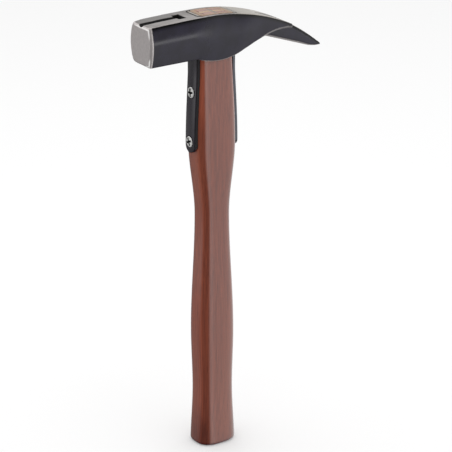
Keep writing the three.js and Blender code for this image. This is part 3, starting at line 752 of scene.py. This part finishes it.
def nail_holder(x, y, below):
    """1 inside the nail groove and the pocket, else 0; the paint there is near black, a painted shade.
    """
    groove = (np.abs(y) < GROOVE_WIDTH / 2 + GROOVE_EDGE_CHAMFER) & (x < MAGNET_X)
    groove &= (below < GROOVE_DEPTH + MASK_BLUR) & (x > FACE_X + FACE_CHAMFER / 2)
    pocket = np.abs(x - MAGNET_X) < POCKET_LENGTH / 2 + MASK_BLUR
    pocket &= (np.abs(y) < POCKET_WIDTH / 2 + MASK_BLUR) & (below < TOP_Z - magnet_low.z)
    return (groove | pocket) * smoothstep(below, MASK_BLUR / 4, MASK_BLUR)


def make_head():
    stations = spaced(FACE_X + FACE_CHAMFER, PICK_X + PICK_TIP_ALLOWANCE, HEAD_STEP)
    rings = [head_ring(FACE_X, FACE_CHAMFER), *(head_ring(x, 0) for x in stations)]
    head = loft(rings, "head_forged")
    claw = (notch_waste(), pick_bevel_waste(), tine_bevel_waste(), throat_waste(), pick_taper_waste())
    for waste in (*claw, groove_waste(), pocket_waste(), eye_solid(0)):
        carve(head, waste)
    even_skin(head, HEAD_VOXEL)
    mesh = head.data
    relax(mesh, EDGE_ROUNDS)
    soft = face_corners(*points_of(mesh).T)
    relax(mesh, CORNER_ROUNDS, ROUNDING_SHARE * soft[:, None])
    x, y, z = points_of(mesh).T
    below = top_at(x) - z
    hollow = nail_holder(x, y, below)
    bare_to = FACE_X + FACE_CHAMFER + BARE_PAST_CHAMFER
    face = fade(x, bare_to - MASK_BLUR, bare_to + MASK_BLUR)
    top = fade(below, MASK_BLUR, 2 * MASK_BLUR)
    bevels = claw_bevels(x, y, z)
    edge = EDGE_WEAR_AND_HIGHLIGHT * edge_sharpness(mesh, HEAD_VOXEL) * (1 - face)
    paint(
        mesh,
        ground=np.maximum.reduce([top, face, bevels]) * (1 - hollow),
        face=np.maximum(face * (1 - top), bevels),
        hollow=hollow,
        # painted highlight on the face's rim, with bright wear and painted highlight on the other bare
        # edges
        edge=np.maximum(edge, painted_rim_highlight(x, y, z)),
        # paler lower edges: part wear, part painted highlight
        worn=worn_edge(x, y, z),
        joint=top * eye_joint(x, y),
        # painted shade: the paint darkens in a band under the top edge
        thick=fade(below, SHADE_UNDER_TOP_BAND / 2, 2 * SHADE_UNDER_TOP_BAND),
    )
    mesh.shade_smooth()
    return head


def wedge_waste(node):
    """The slot that a wedge sits in: the wedge itself, a little larger."""
    low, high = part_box(node)
    centre = (low + high) / 2
    waste = new_object("waste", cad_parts[node].data.copy())
    grow = [1 + 2 * WEDGE_GAP / size for size in high - low]
    waste.data.transform(Matrix.Translation(-centre))
    waste.data.transform(Matrix.Translation(centre) @ Matrix.Diagonal((*grow, 1)))
    return waste


def make_handle(screw_places):
    rings = []
    for angle in np.linspace(0, math.pi / 2, ARC_STEPS + 1):
        inset = BUTT_EDGE_RADIUS * (1 - math.sin(angle))
        rings.append(handle_ring(BUTT_EDGE_RADIUS * (1 - math.cos(angle)), inset))
    shaft = spaced(BUTT_EDGE_RADIUS, TOP_Z + CUT_PAST / 2, HANDLE_STEP)[1:]
    handle = loft([*rings, *(handle_ring(z, 0) for z in shaft)], "handle_hickory")
    carve(handle, above_top())
    x, _, z = points_of(handle.data).T
    facing_x, facing_y, _ = np.abs(normals_of(handle.data)).T
    paint(
        handle.data,
        front=smoothstep(facing_x, *FACING),
        bent=fade(facing_y, *FACING),
        end=z > top_at(x) - MASK_BLUR / 2,
    )
    for node in ("wood_wedge", "steel_wedge"):
        carve(handle, wedge_waste(node))
    for place in screw_places:
        carve(handle, screw_hole(place))
    handle.data.shade_smooth()
    handle.data.set_sharp_from_angle(angle=HANDLE_CREASE)
    return handle


def make_strap(name, side, screw_places):
    """A narrow blade down the handle, and a root that fills the end of the eye."""
    blade_levels = spaced(STRAP_END_Z - CUT_PAST, TOP_Z + CUT_PAST, HANDLE_STEP)
    strap = loft([strap_ring(z, side, STRAP_WIDTH / 2) for z in blade_levels], name)
    carve(strap, strap_outline(), "INTERSECT")
    root_levels = spaced(STRAP_ROOT_Z, TOP_Z + CUT_PAST, HANDLE_STEP)
    root = loft([strap_ring(z, side, handle_at(z)[1]) for z in root_levels])
    carve(root, eye_solid(SEAT_GAP), "INTERSECT")
    carve(strap, root, "UNION")
    carve(strap, above_top())
    for place in screw_places:
        carve(strap, screw_hole(place))
    even_skin(strap, STRAP_VOXEL)
    mesh = strap.data
    relax(mesh, EDGE_ROUNDS)
    x, y, z = points_of(mesh).T
    flank = smoothstep(np.abs(y), STRAP_WIDTH / 2 - 2 * MASK_BLUR, STRAP_WIDTH / 2 - MASK_BLUR)
    ground = fade(top_at(x) - z, MASK_BLUR, 2 * MASK_BLUR)
    edge = edge_sharpness(mesh, STRAP_VOXEL)
    paint(mesh, ground=ground, joint=ground * eye_joint(x, y), edge=edge)
    # painted shade on the front strap's flank, painted highlight on the rear strap's flank
    paint(mesh, **{"shaded_flank" if side < 0 else "highlit_flank": flank})
    mesh.shade_smooth()
    return strap


# Finishes

def srgb(*levels):
    """A colour as seen on a screen, 0 to 255, as the linear colour that shaders take."""
    shares = [level / 255 for level in levels]
    linear = [s / 12.92 if s <= 0.04045 else ((s + 0.055) / 1.055) ** 2.4 for s in shares]
    return (*linear, 1)


def grey(level):
    return (level, level, level, 1)


# Colours: one, or two from dark to light
TOP_STEEL = srgb(114, 110, 108), srgb(152, 147, 145)
TOP_STEEL_PATCH = srgb(170, 166, 164)
TOP_STEEL_COARSE = srgb(108, 105, 104)
TOP_STEEL_PALE = srgb(196, 190, 180)
FACE_STEEL = srgb(205, 199, 198), srgb(214, 208, 207)
BRIGHT_EDGE_AND_HIGHLIGHT = srgb(242, 240, 238)
JOINT_LINE = srgb(20, 18, 18)
PAINT = srgb(25, 22, 36), srgb(32, 29, 46)
# painted shade under the top edge
PAINT_SHADE_UNDER_TOP = srgb(6, 5, 8)
# paler lower edges: part wear, part painted highlight
PAINT_WEAR_AND_SHEEN = srgb(140, 132, 130)
# painted shade: near black inside the groove and the pocket
PAINT_SHADE_IN_HOLLOW = srgb(8, 7, 7)
STAIN = srgb(114, 54, 37), srgb(134, 66, 45)
STAIN_EARLY = srgb(92, 40, 27)
STAIN_PATCH = srgb(142, 74, 50)
STAIN_PORE = srgb(70, 30, 22)
# painted shade along the butt's lower rounding
STAIN_SHADE_AT_BUTT = srgb(80, 16, 20)
STAIN_PALER = grey(1.7)
STAIN_DARKER = (0.6, 0.56, 0.62, 1)
END_GRAIN = srgb(142, 128, 113), srgb(168, 152, 134)
END_GRAIN_EARLY = srgb(186, 138, 104)
END_GRAIN_PORE = srgb(96, 72, 56)
STRAP_BLACK = srgb(23, 17, 28), srgb(32, 25, 38)
STRAP_SCUFF = srgb(104, 102, 106)
# painted shade on the front strap's flank
STRAP_FLANK_SHADE = srgb(26, 24, 26)
# painted highlight on the rear strap's flank
STRAP_FLANK_HIGHLIGHT = srgb(66, 68, 78)
STRAP_STEEL = srgb(130, 124, 116), srgb(172, 164, 154)
ZINC = srgb(226, 226, 224), srgb(246, 246, 244)
# painted shade in the screws' cross recess
ZINC_RECESS_SHADE = srgb(52, 52, 54)
NICKEL = srgb(120, 120, 122), srgb(178, 177, 174)
WEDGE_WOOD = srgb(160, 136, 112), srgb(190, 164, 136)
WEDGE_PORE = srgb(110, 84, 62)
WEDGE_STEEL = srgb(128, 120, 110), srgb(164, 154, 142)

# Grains: features per metre along X, Y and Z, and levels of finer detail
GRINDING = (1500, 60, 300, 2)
BROAD_GRINDING = (420, 30, 90, 2)
TOP_PATCHES = (60, 120, 60, 2)
FACE_SPECKS = (520, 520, 520, 3)
PAINT_MOTTLE = (130, 130, 130, 4)
PAINT_PEEL = (900, 900, 900, 2)
RING_WAVES = (14, 14, 5, 2)
WOOD_FIBRE = (1500, 1500, 12, 3)
WOOD_PORES = (3200, 3200, 90, 1)
WOOD_TONE = (60, 60, 6, 2)
STRAP_MOTTLE = (260, 260, 90, 4)
STRAP_ROLLING = (1500, 1500, 60, 2)
SCREW_TURNING = (900, 900, 900, 3)
MAGNET_CLOUD = (700, 700, 700, 4)
WEDGE_GRAIN = (260, 2400, 60, 3)
WEDGE_PORES = (3200, 3200, 120, 1)
GRINDING_TURN = 20

# Limits between which a grain or a mask takes effect
NOISE = (0.3, 0.7)
MOTTLED = (0.35, 0.7)
PATCHY = (0.35, 0.65)
EDGE_SHOWS = (0.35, 0.9)
WEAR_AND_SHEEN_SHOWS = (0.2, 0.8)
RING_STARTS = (0, 0.15)
RING_ENDS = (0.3, 0.7)

# Limits between which a finish changes along X, Y or Z
COARSE_ACROSS = (0, 4 * MM)
COARSE_END = (-32 * MM, -18 * MM)
PALE_PAST_EYE = (8 * MM, 22 * MM)
PALE_BEFORE_TINE = (34 * MM, 56 * MM)
DULLER_PAINT = (-28 * MM, 2 * MM)
PALE_BY_STRAP = (235 * MM, 275 * MM)
PALE_NEAR_HEAD = (190 * MM, 280 * MM)
DARK_NEAR_BUTT = (8 * MM, 36 * MM)
# painted shade along the butt's lower rounding
SHADE_AT_BUTT_EDGE = (0.4 * BUTT_EDGE_RADIUS, 1.4 * BUTT_EDGE_RADIUS)

# Growth rings
PITH_X = -55 * MM
PITH_Y = 95 * MM
RING_WIDTH = 2.2 * MM
RING_WANDER = 5 * MM


class Nodes:
    """A node tree, with short ways to wire it."""

    # A Mix node's sockets: factor, A and B
    FLOAT_SOCKETS = (0, 2, 3)
    COLOUR_SOCKETS = (0, 6, 7)

    def __init__(self, owner):
        owner.use_nodes = True
        self.tree = owner.node_tree

    def add(self, kind, inputs=(), **settings):
        """Adds a shader node and gives its outputs."""
        node = self.tree.nodes.new("ShaderNode" + kind)
        for name, value in settings.items():
            setattr(node, name, value)
        for key, value in dict(inputs).items():
            self.feed(node.inputs[key], value)
        return node.outputs

    def feed(self, socket, value):
        if isinstance(value, bpy.types.NodeSocket):
            self.tree.links.new(value, socket)
        else:
            socket.default_value = value

    def axes(self, vector):
        return self.add("SeparateXYZ", {0: vector})

    def math(self, operation, *values):
        return self.add("Math", enumerate(values), operation=operation)[0]

    def times(self, value, factor):
        return self.math("MULTIPLY", value, factor)

    def span(self, value, limits, levels=(0, 1)):
        """A smooth step from one level to another, between two limits of a value."""
        ends = zip(("From Min", "From Max", "To Min", "To Max"), (*limits, *levels))
        inputs = {"Value": value, **dict(ends)}
        return self.add("MapRange", inputs, interpolation_type="SMOOTHSTEP")["Result"]

    def mix(self, share, low, high):
        inputs = zip(self.FLOAT_SOCKETS, (share, low, high))
        return self.add("Mix", inputs)[0]

    def blend(self, share, low, high, how="MIX"):
        inputs = zip(self.COLOUR_SOCKETS, (share, low, high))
        return self.add("Mix", inputs, data_type="RGBA", blend_type=how)[2]

    def tones(self, grain, colours, limits=NOISE):
        """From a dark colour to a light one, by a grain."""
        return self.blend(self.span(grain, limits), *colours)

    def layer(self, base, *coats):
        """A base colour under coats, each a share and a colour."""
        for share, colour in coats:
            base = self.blend(share, base, colour)
        return base

    def ramp(self, value, stops):
        """Greys that pass through stops, each a position and a level."""
        result = self.add("ValToRGB", {0: value})[0]
        elements = result.node.color_ramp.elements
        while len(elements) < len(stops):
            elements.new(0.5)
        for element, (position, level) in zip(elements, stops):
            element.position = position
            element.color = grey(level)
        return result


class Finish(Nodes):
    """A Principled material."""

    def __init__(self, name):
        self.material = bpy.data.materials.new(name)
        super().__init__(self.material)
        self.shader = self.tree.nodes["Principled BSDF"]
        self.place = self.add("TexCoord")["Object"]

    def set(self, **inputs):
        for name, value in inputs.items():
            self.feed(self.shader.inputs[name.replace("_", " ")], value)
        return self

    def masks(self, *names):
        return [self.add("Attribute", attribute_name=name)["Fac"] for name in names]

    def noise(self, grain, turn=0):
        """Noise of a grain, turned about Z in degrees."""
        *per_metre, detail = grain
        inputs = {
            "Vector": self.place,
            "Rotation": (0, 0, math.radians(turn)),
            "Scale": [1 / count for count in per_metre],
        }
        stretched = self.add("Mapping", inputs, vector_type="TEXTURE")[0]
        inputs = {"Vector": stretched, "Scale": 1, "Detail": detail}
        return self.add("TexNoise", inputs)["Fac"]

    def bump(self, height, distance, strength):
        inputs = {"Height": height, "Distance": distance, "Strength": strength}
        return self.add("Bump", inputs)["Normal"]

    def dress(self, piece):
        piece.data.materials.clear()
        piece.data.materials.append(self.material)


def forged_head_finish():
    """Dark paint over forged steel, ground bright on the top, the face and the claw's bevels."""
    look = Finish("painted_and_ground_steel")
    ground, face, hollow, edge = look.masks("ground", "face", "hollow", "edge")
    worn, joint, thick = look.masks("worn", "joint", "thick")
    x, y, _ = look.axes(look.place)
    fine, broad = look.noise(GRINDING, GRINDING_TURN), look.noise(BROAD_GRINDING, GRINDING_TURN)
    lines = look.mix(0.4, fine, broad)
    patches, specks = look.noise(TOP_PATCHES), look.noise(FACE_SPECKS)
    mottle, peel = look.noise(PAINT_MOTTLE), look.noise(PAINT_PEEL)
    coarse = look.times(look.span(y, COARSE_ACROSS), look.span(x, COARSE_END, (0.8, 0)))
    before_tine = look.span(x, PALE_BEFORE_TINE, (0.7, 0.1))
    top_steel = look.layer(
        look.tones(lines, TOP_STEEL),
        (look.span(patches, PATCHY, (0, 0.5)), TOP_STEEL_PATCH),
        (coarse, TOP_STEEL_COARSE),
        (look.times(look.span(x, PALE_PAST_EYE), before_tine), TOP_STEEL_PALE),
    )
    steel = look.layer(
        top_steel,
        (face, look.tones(specks, FACE_STEEL)),
        (look.span(edge, EDGE_SHOWS), BRIGHT_EDGE_AND_HIGHLIGHT),
        # near-white edges: painted highlight on the face's rim, part wear and part painted highlight
        # elsewhere
        (joint, JOINT_LINE),
    )
    black = look.layer(
        look.tones(mottle, PAINT, MOTTLED),
        # painted shade under the top edge
        (thick, PAINT_SHADE_UNDER_TOP),
        # paler lower edges: part wear, part painted highlight
        (look.span(worn, WEAR_AND_SHEEN_SHOWS), PAINT_WEAR_AND_SHEEN),
        # painted shade inside the groove and the pocket
        (hollow, PAINT_SHADE_IN_HOLLOW),
    )
    duller = look.span(x, DULLER_PAINT, (0, 0.25))
    painted = look.math("ADD", look.span(mottle, NOISE, (0.1, 0.14)), duller)
    black_roughness = look.mix(hollow, painted, 0.95)
    bare_roughness = look.mix(face, look.span(lines, NOISE, (0.42, 0.3)), 0.48)
    relief = look.mix(ground, look.times(peel, 0.4), look.mix(face, lines, specks))
    return look.set(
        Base_Color=look.blend(ground, black, steel),
        # the bright edges lose their metal, so the painted highlight shows white
        Metallic=look.times(ground, look.span(edge, EDGE_SHOWS, (0.65, 0.05))),
        Roughness=look.mix(ground, black_roughness, bare_roughness),
        Normal=look.bump(relief, distance=0.04 * MM, strength=0.4),
    )


def hickory_finish():
    """Stained hickory under clear lacquer: growth rings, fine pores, bare end grain on top."""
    look = Finish("lacquered_hickory")
    end, front, bent = look.masks("end", "front", "bent")
    x, y, z = look.axes(look.place)
    across = look.math("POWER", look.math("SUBTRACT", x, PITH_X), 2)
    along = look.math("POWER", look.math("SUBTRACT", y, PITH_Y), 2)
    wander = look.span(look.noise(RING_WAVES), NOISE, (0, RING_WANDER))
    radius = look.math("ADD", look.math("SQRT", look.math("ADD", across, along)), wander)
    ring = look.math("FRACT", look.math("DIVIDE", radius, RING_WIDTH))
    early = look.times(look.span(ring, RING_STARTS), look.span(ring, RING_ENDS, (1, 0)))
    fibre, tone = look.noise(WOOD_FIBRE), look.noise(WOOD_TONE)
    pores = look.span(look.noise(WOOD_PORES), (0.56, 0.68))
    pores = look.times(pores, look.math("ADD", look.times(early, 0.75), 0.25))
    stained = look.layer(
        look.tones(fibre, STAIN),
        (look.times(early, 0.18), STAIN_EARLY),
        (look.span(tone, (0.4, 0.7), (0, 0.4)), STAIN_PATCH),
        (look.times(pores, 0.4), STAIN_PORE),
    )
    by_strap = look.times(bent, look.span(z, PALE_BY_STRAP, (0, 0.85)))
    pale = look.math("MAXIMUM", by_strap, look.span(z, PALE_NEAR_HEAD, (0, 0.02)))
    pale = look.math("MAXIMUM", pale, look.times(front, 0.36))
    stained = look.blend(pale, stained, STAIN_PALER, "MULTIPLY")
    dark = look.times(bent, look.span(z, DARK_NEAR_BUTT, (1, 0)))
    stained = look.blend(dark, stained, STAIN_DARKER, "MULTIPLY")
    # painted shade: darker along the butt's lower rounding
    stained = look.blend(look.span(z, SHADE_AT_BUTT_EDGE, (0.95, 0)), stained, STAIN_SHADE_AT_BUTT)
    bare = look.layer(
        look.tones(fibre, END_GRAIN, PATCHY),
        (look.times(early, 0.35), END_GRAIN_EARLY),
        (look.times(pores, 0.6), END_GRAIN_PORE),
    )
    relief = look.math("SUBTRACT", look.times(fibre, 0.35), pores)
    return look.set(
        Base_Color=look.blend(end, stained, bare),
        Roughness=look.mix(end, look.span(fibre, NOISE, (0.42, 0.34)), 0.62),
        Specular_IOR_Level=0.2,
        Coat_Weight=look.mix(end, 1, 0),
        Coat_Roughness=0.12,
        Coat_IOR=1.74,
        Normal=look.bump(relief, distance=0.04 * MM, strength=0.3),
    )


def strap_finish():
    """Satin black steel, ground bright where it ends in the eye; matt with painted shade on the front
    strap's flank, and a painted highlight on the rear strap's flank.
    """
    look = Finish("black_strap_steel")
    ground, joint, edge, shaded_flank, highlit_flank = look.masks("ground", "joint", "edge", "shaded_flank", "highlit_flank")
    mottle, rolled = look.noise(STRAP_MOTTLE), look.noise(STRAP_ROLLING)
    scuffed = look.times(look.span(edge, (0.4, 1)), look.span(mottle, (0.4, 0.6), (0, 0.3)))
    black = look.layer(
        look.tones(mottle, STRAP_BLACK, MOTTLED),
        (scuffed, STRAP_SCUFF),
        # painted shade on the front flank, painted highlight on the rear flank
        (shaded_flank, STRAP_FLANK_SHADE),
        (highlit_flank, STRAP_FLANK_HIGHLIGHT),
    )
    steel = look.layer(look.blend(rolled, *STRAP_STEEL), (joint, JOINT_LINE))
    relief = look.math("ADD", mottle, look.times(rolled, 0.5))
    return look.set(
        Base_Color=look.blend(ground, black, steel),
        Metallic=look.times(ground, 0.55),
        Roughness=look.mix(shaded_flank, look.span(mottle, NOISE, (0.18, 0.24)), 0.9),
        Specular_IOR_Level=0.8,
        Normal=look.bump(relief, distance=0.05 * MM, strength=0.3),
    )


def zinc_finish():
    look = Finish("zinc_plated_steel")
    recess, = look.masks("recess")
    turned = look.noise(SCREW_TURNING)
    return look.set(
        # painted shade: the cross recess is darker
        Base_Color=look.layer(look.tones(turned, ZINC), (recess, ZINC_RECESS_SHADE)),
        Metallic=0.45,
        Roughness=look.mix(recess, look.span(turned, NOISE, (0.2, 0.3)), 0.5),
        Normal=look.bump(turned, distance=0.02 * MM, strength=0.3),
    )


def magnet_finish():
    look = Finish("nickel_plated_magnet")
    cloud = look.noise(MAGNET_CLOUD)
    return look.set(
        Base_Color=look.blend(cloud, *NICKEL),
        Metallic=1,
        Roughness=look.span(cloud, NOISE, (0.28, 0.42)),
        Normal=look.bump(cloud, distance=0.02 * MM, strength=0.3),
    )


def wedge_wood_finish():
    look = Finish("bare_wedge_wood")
    grain = look.noise(WEDGE_GRAIN)
    pores = look.span(look.noise(WEDGE_PORES), (0.56, 0.7))
    return look.set(
        Base_Color=look.layer(look.tones(grain, WEDGE_WOOD), (pores, WEDGE_PORE)),
        Roughness=look.span(grain, NOISE, (0.55, 0.7)),
        Normal=look.bump(grain, distance=0.04 * MM, strength=0.4),
    )


def wedge_steel_finish():
    look = Finish("ground_wedge_steel")
    lines = look.noise(GRINDING, GRINDING_TURN)
    return look.set(
        Base_Color=look.tones(lines, WEDGE_STEEL),
        Metallic=0.55,
        Roughness=look.span(lines, NOISE, (0.45, 0.35)),
        Normal=look.bump(lines, distance=0.03 * MM, strength=0.4),
    )


# Assembly

def mount(piece, finish, slot, *nodes):
    finish.dress(piece)
    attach(piece, "root")
    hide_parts(*nodes)


mount(make_head(), forged_head_finish(), "head_steel", "head")

magnet_profile = [
    (MAGNET_RADIUS, magnet_low.z),
    (MAGNET_RADIUS, magnet_high.z),
    (MAGNET_RADIUS - MAGNET_PROUD, magnet_high.z + MAGNET_PROUD),
]
magnet = lathe(magnet_profile, "nail_magnet_disc")
magnet.data.transform(Matrix.Translation((MAGNET_X, 0, 0)))
mount(magnet, magnet_finish(), "magnet", "nail_magnet")

black_strap, zinc = strap_finish(), zinc_finish()
lower_z = STRAP_END_Z + SCREW_FROM_END
screw_levels = {"upper": lower_z + SCREW_PITCH, "lower": lower_z}
all_places = []
for end, side in (("front", -1), ("rear", 1)):
    places = [screw_place(side, z) for z in screw_levels.values()]
    strap = make_strap(f"{end}_strap_steel", side, places)
    mount(strap, black_strap, "strap_steel", f"{end}_strap")
    for level, z in screw_levels.items():
        screw = make_screw(f"{end}_{level}_cross_screw", side, z, SCREW_TURNS[f"{end}_{level}"])
        mount(screw, zinc, "screw_steel", f"{end}_{level}_screw")
    all_places += places

mount(make_handle(all_places), hickory_finish(), "handle_wood", "handle")
wedge_wood_finish().dress(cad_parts["wood_wedge"])
wedge_steel_finish().dress(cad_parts["steel_wedge"])

# Stage, light and camera

FLOOR_SIZE = 12
FLOOR_GREY = 0.75
FLOOR_GLOW = 0.2
ROOM_LIGHT = 0.85
SOFTBOX_PLACE = (0.1, 0.1, 1.6)
SOFTBOX_TARGET = (0, 0, 0.15)
SOFTBOX_SIZE = 1.4
SOFTBOX_POWER = 8

# The photograph's camera. Its azimuth goes round from -Y towards -X.
CAMERA_PLACE = (-0.8076, -1.2153, 0.7364)
CAMERA_AZIMUTH = math.radians(34)
CAMERA_PITCH = math.radians(21.3)
FRAME_PIXELS = 452
FOCAL_PIXELS = 2200
SENSOR_WIDTH = 36

# What reflections see below the horizon: three soft panels, each given as brightness by degrees
# round from -Y towards -X, and by depth
PANELS = [
    (
        [(-180, 0.4), (-150, 0.9), (-120, 1.4), (-60, 1.25), (-24, 1.2), (-9, 1.6), (2, 1.5), (9, 0.9),
         (19, 0.06), (42, 0.03), (60, 0.04), (172, 0.04), (180, 0.4)],
        [(0, 0.45), (0.05, 0.75), (0.075, 1.95), (0.13, 2), (0.165, 0.84), (0.28, 0.82), (0.4, 0.78),
         (0.66, 0.65), (0.8, 0.3), (1, 0.1)],
    ),
    (
        [(-180, 0), (100, 0), (114, 0.1), (140, 0.2), (164, 0.2), (176, 0)],
        [(0, 0.3), (0.17, 0.4), (0.24, 0.95), (0.29, 2), (0.32, 2), (0.345, 1.1), (0.5, 1), (0.7, 0.6),
         (1, 0.2)],
    ),
    (
        [(-180, 0), (108, 0), (118, 1), (130, 1), (138, 0)],
        [(0, 0.3), (0.1, 1.2), (0.2, 1.2), (0.27, 0.2), (0.4, 0), (1, 0)],
    ),
]

# What they see above it: walls, brightness by degrees, which give way to a white ceiling
WALL_GLARE = [
    (-180, 1.0), (-100, 0.7), (-70, 0.08), (4, 0.05), (14, 0.05), (46, 0.06), (70, 0.15), (110, 0.6),
    (180, 1.0),
]
HORIZON = (0.13, 0.24)
OVERHEAD = (0.55, 0.85)


def make_floor():
    """A pale floor, a little brighter for the camera, which reflections leave out."""
    half = FLOOR_SIZE / 2
    corners = half * np.array([(-1, -1, 0), (1, -1, 0), (1, 1, 0), (-1, 1, 0)])
    floor = new_piece("floor", corners, [(0, 1, 2, 3)])
    material = bpy.data.materials.new("pale_floor")
    nodes = Nodes(material)
    nodes.tree.nodes.clear()
    matt = nodes.add("BsdfDiffuse", {"Color": grey(FLOOR_GREY)})[0]
    seen = nodes.add("LightPath")["Is Camera Ray"]
    glow = nodes.add("Emission", {"Strength": nodes.times(seen, FLOOR_GLOW)})[0]
    both = nodes.add("AddShader", {0: matt, 1: glow})[0]
    nodes.add("OutputMaterial", {"Surface": both})
    floor.data.materials.append(material)
    floor.visible_glossy = False


def make_world():
    """White for the camera; a studio with a dark camera side for reflections; even light."""
    world = bpy.data.worlds.new("studio")
    bpy.context.scene.world = world
    nodes = Nodes(world)
    nodes.tree.nodes.clear()
    x, y, z = nodes.axes(nodes.add("TexCoord")["Generated"])
    azimuth = nodes.math("ARCTAN2", nodes.times(x, -1), nodes.times(y, -1))
    turn = nodes.add("MapRange", {0: azimuth, 1: -math.pi, 2: math.pi})[0]
    depth = nodes.times(z, -1)

    def ramp_round(stops):
        return nodes.ramp(turn, [((degrees + 180) / 360, level) for degrees, level in stops])

    floor = grey(0)
    for by_turn, by_depth in PANELS:
        panel = nodes.blend(1, ramp_round(by_turn), nodes.ramp(depth, by_depth), "MULTIPLY")
        floor = nodes.blend(1, floor, panel, "ADD")
    walls = nodes.blend(nodes.span(z, HORIZON), floor, ramp_round(WALL_GLARE))
    room = nodes.blend(nodes.span(z, OVERHEAD), walls, grey(1))
    light_path = nodes.add("LightPath")
    lit = nodes.blend(light_path["Is Glossy Ray"], grey(ROOM_LIGHT), room)
    seen = nodes.blend(light_path["Is Camera Ray"], lit, grey(1))
    sky = nodes.add("Background", {"Color": seen})[0]
    nodes.add("OutputWorld", {"Surface": sky})


def make_softbox():
    lamp = bpy.data.lights.new("top_softbox", "AREA")
    lamp.size = SOFTBOX_SIZE
    lamp.energy = SOFTBOX_POWER
    softbox = new_object("top_softbox", lamp)
    softbox.location = SOFTBOX_PLACE
    aim = Vector(SOFTBOX_TARGET) - Vector(SOFTBOX_PLACE)
    softbox.rotation_euler = aim.to_track_quat("-Z", "Y").to_euler()


def make_camera():
    """The photograph's view, with its horizon level."""
    data = bpy.data.cameras.new("camera")
    data.sensor_width = SENSOR_WIDTH
    data.lens = SENSOR_WIDTH * FOCAL_PIXELS / FRAME_PIXELS
    camera = new_object("camera", data)
    camera.location = CAMERA_PLACE
    camera.rotation_euler = (math.pi / 2 - CAMERA_PITCH, 0, -CAMERA_AZIMUTH)
    bpy.context.scene.camera = camera


make_floor()
make_world()
make_softbox()
make_camera()
bpy.context.scene.view_settings.view_transform = "Standard"
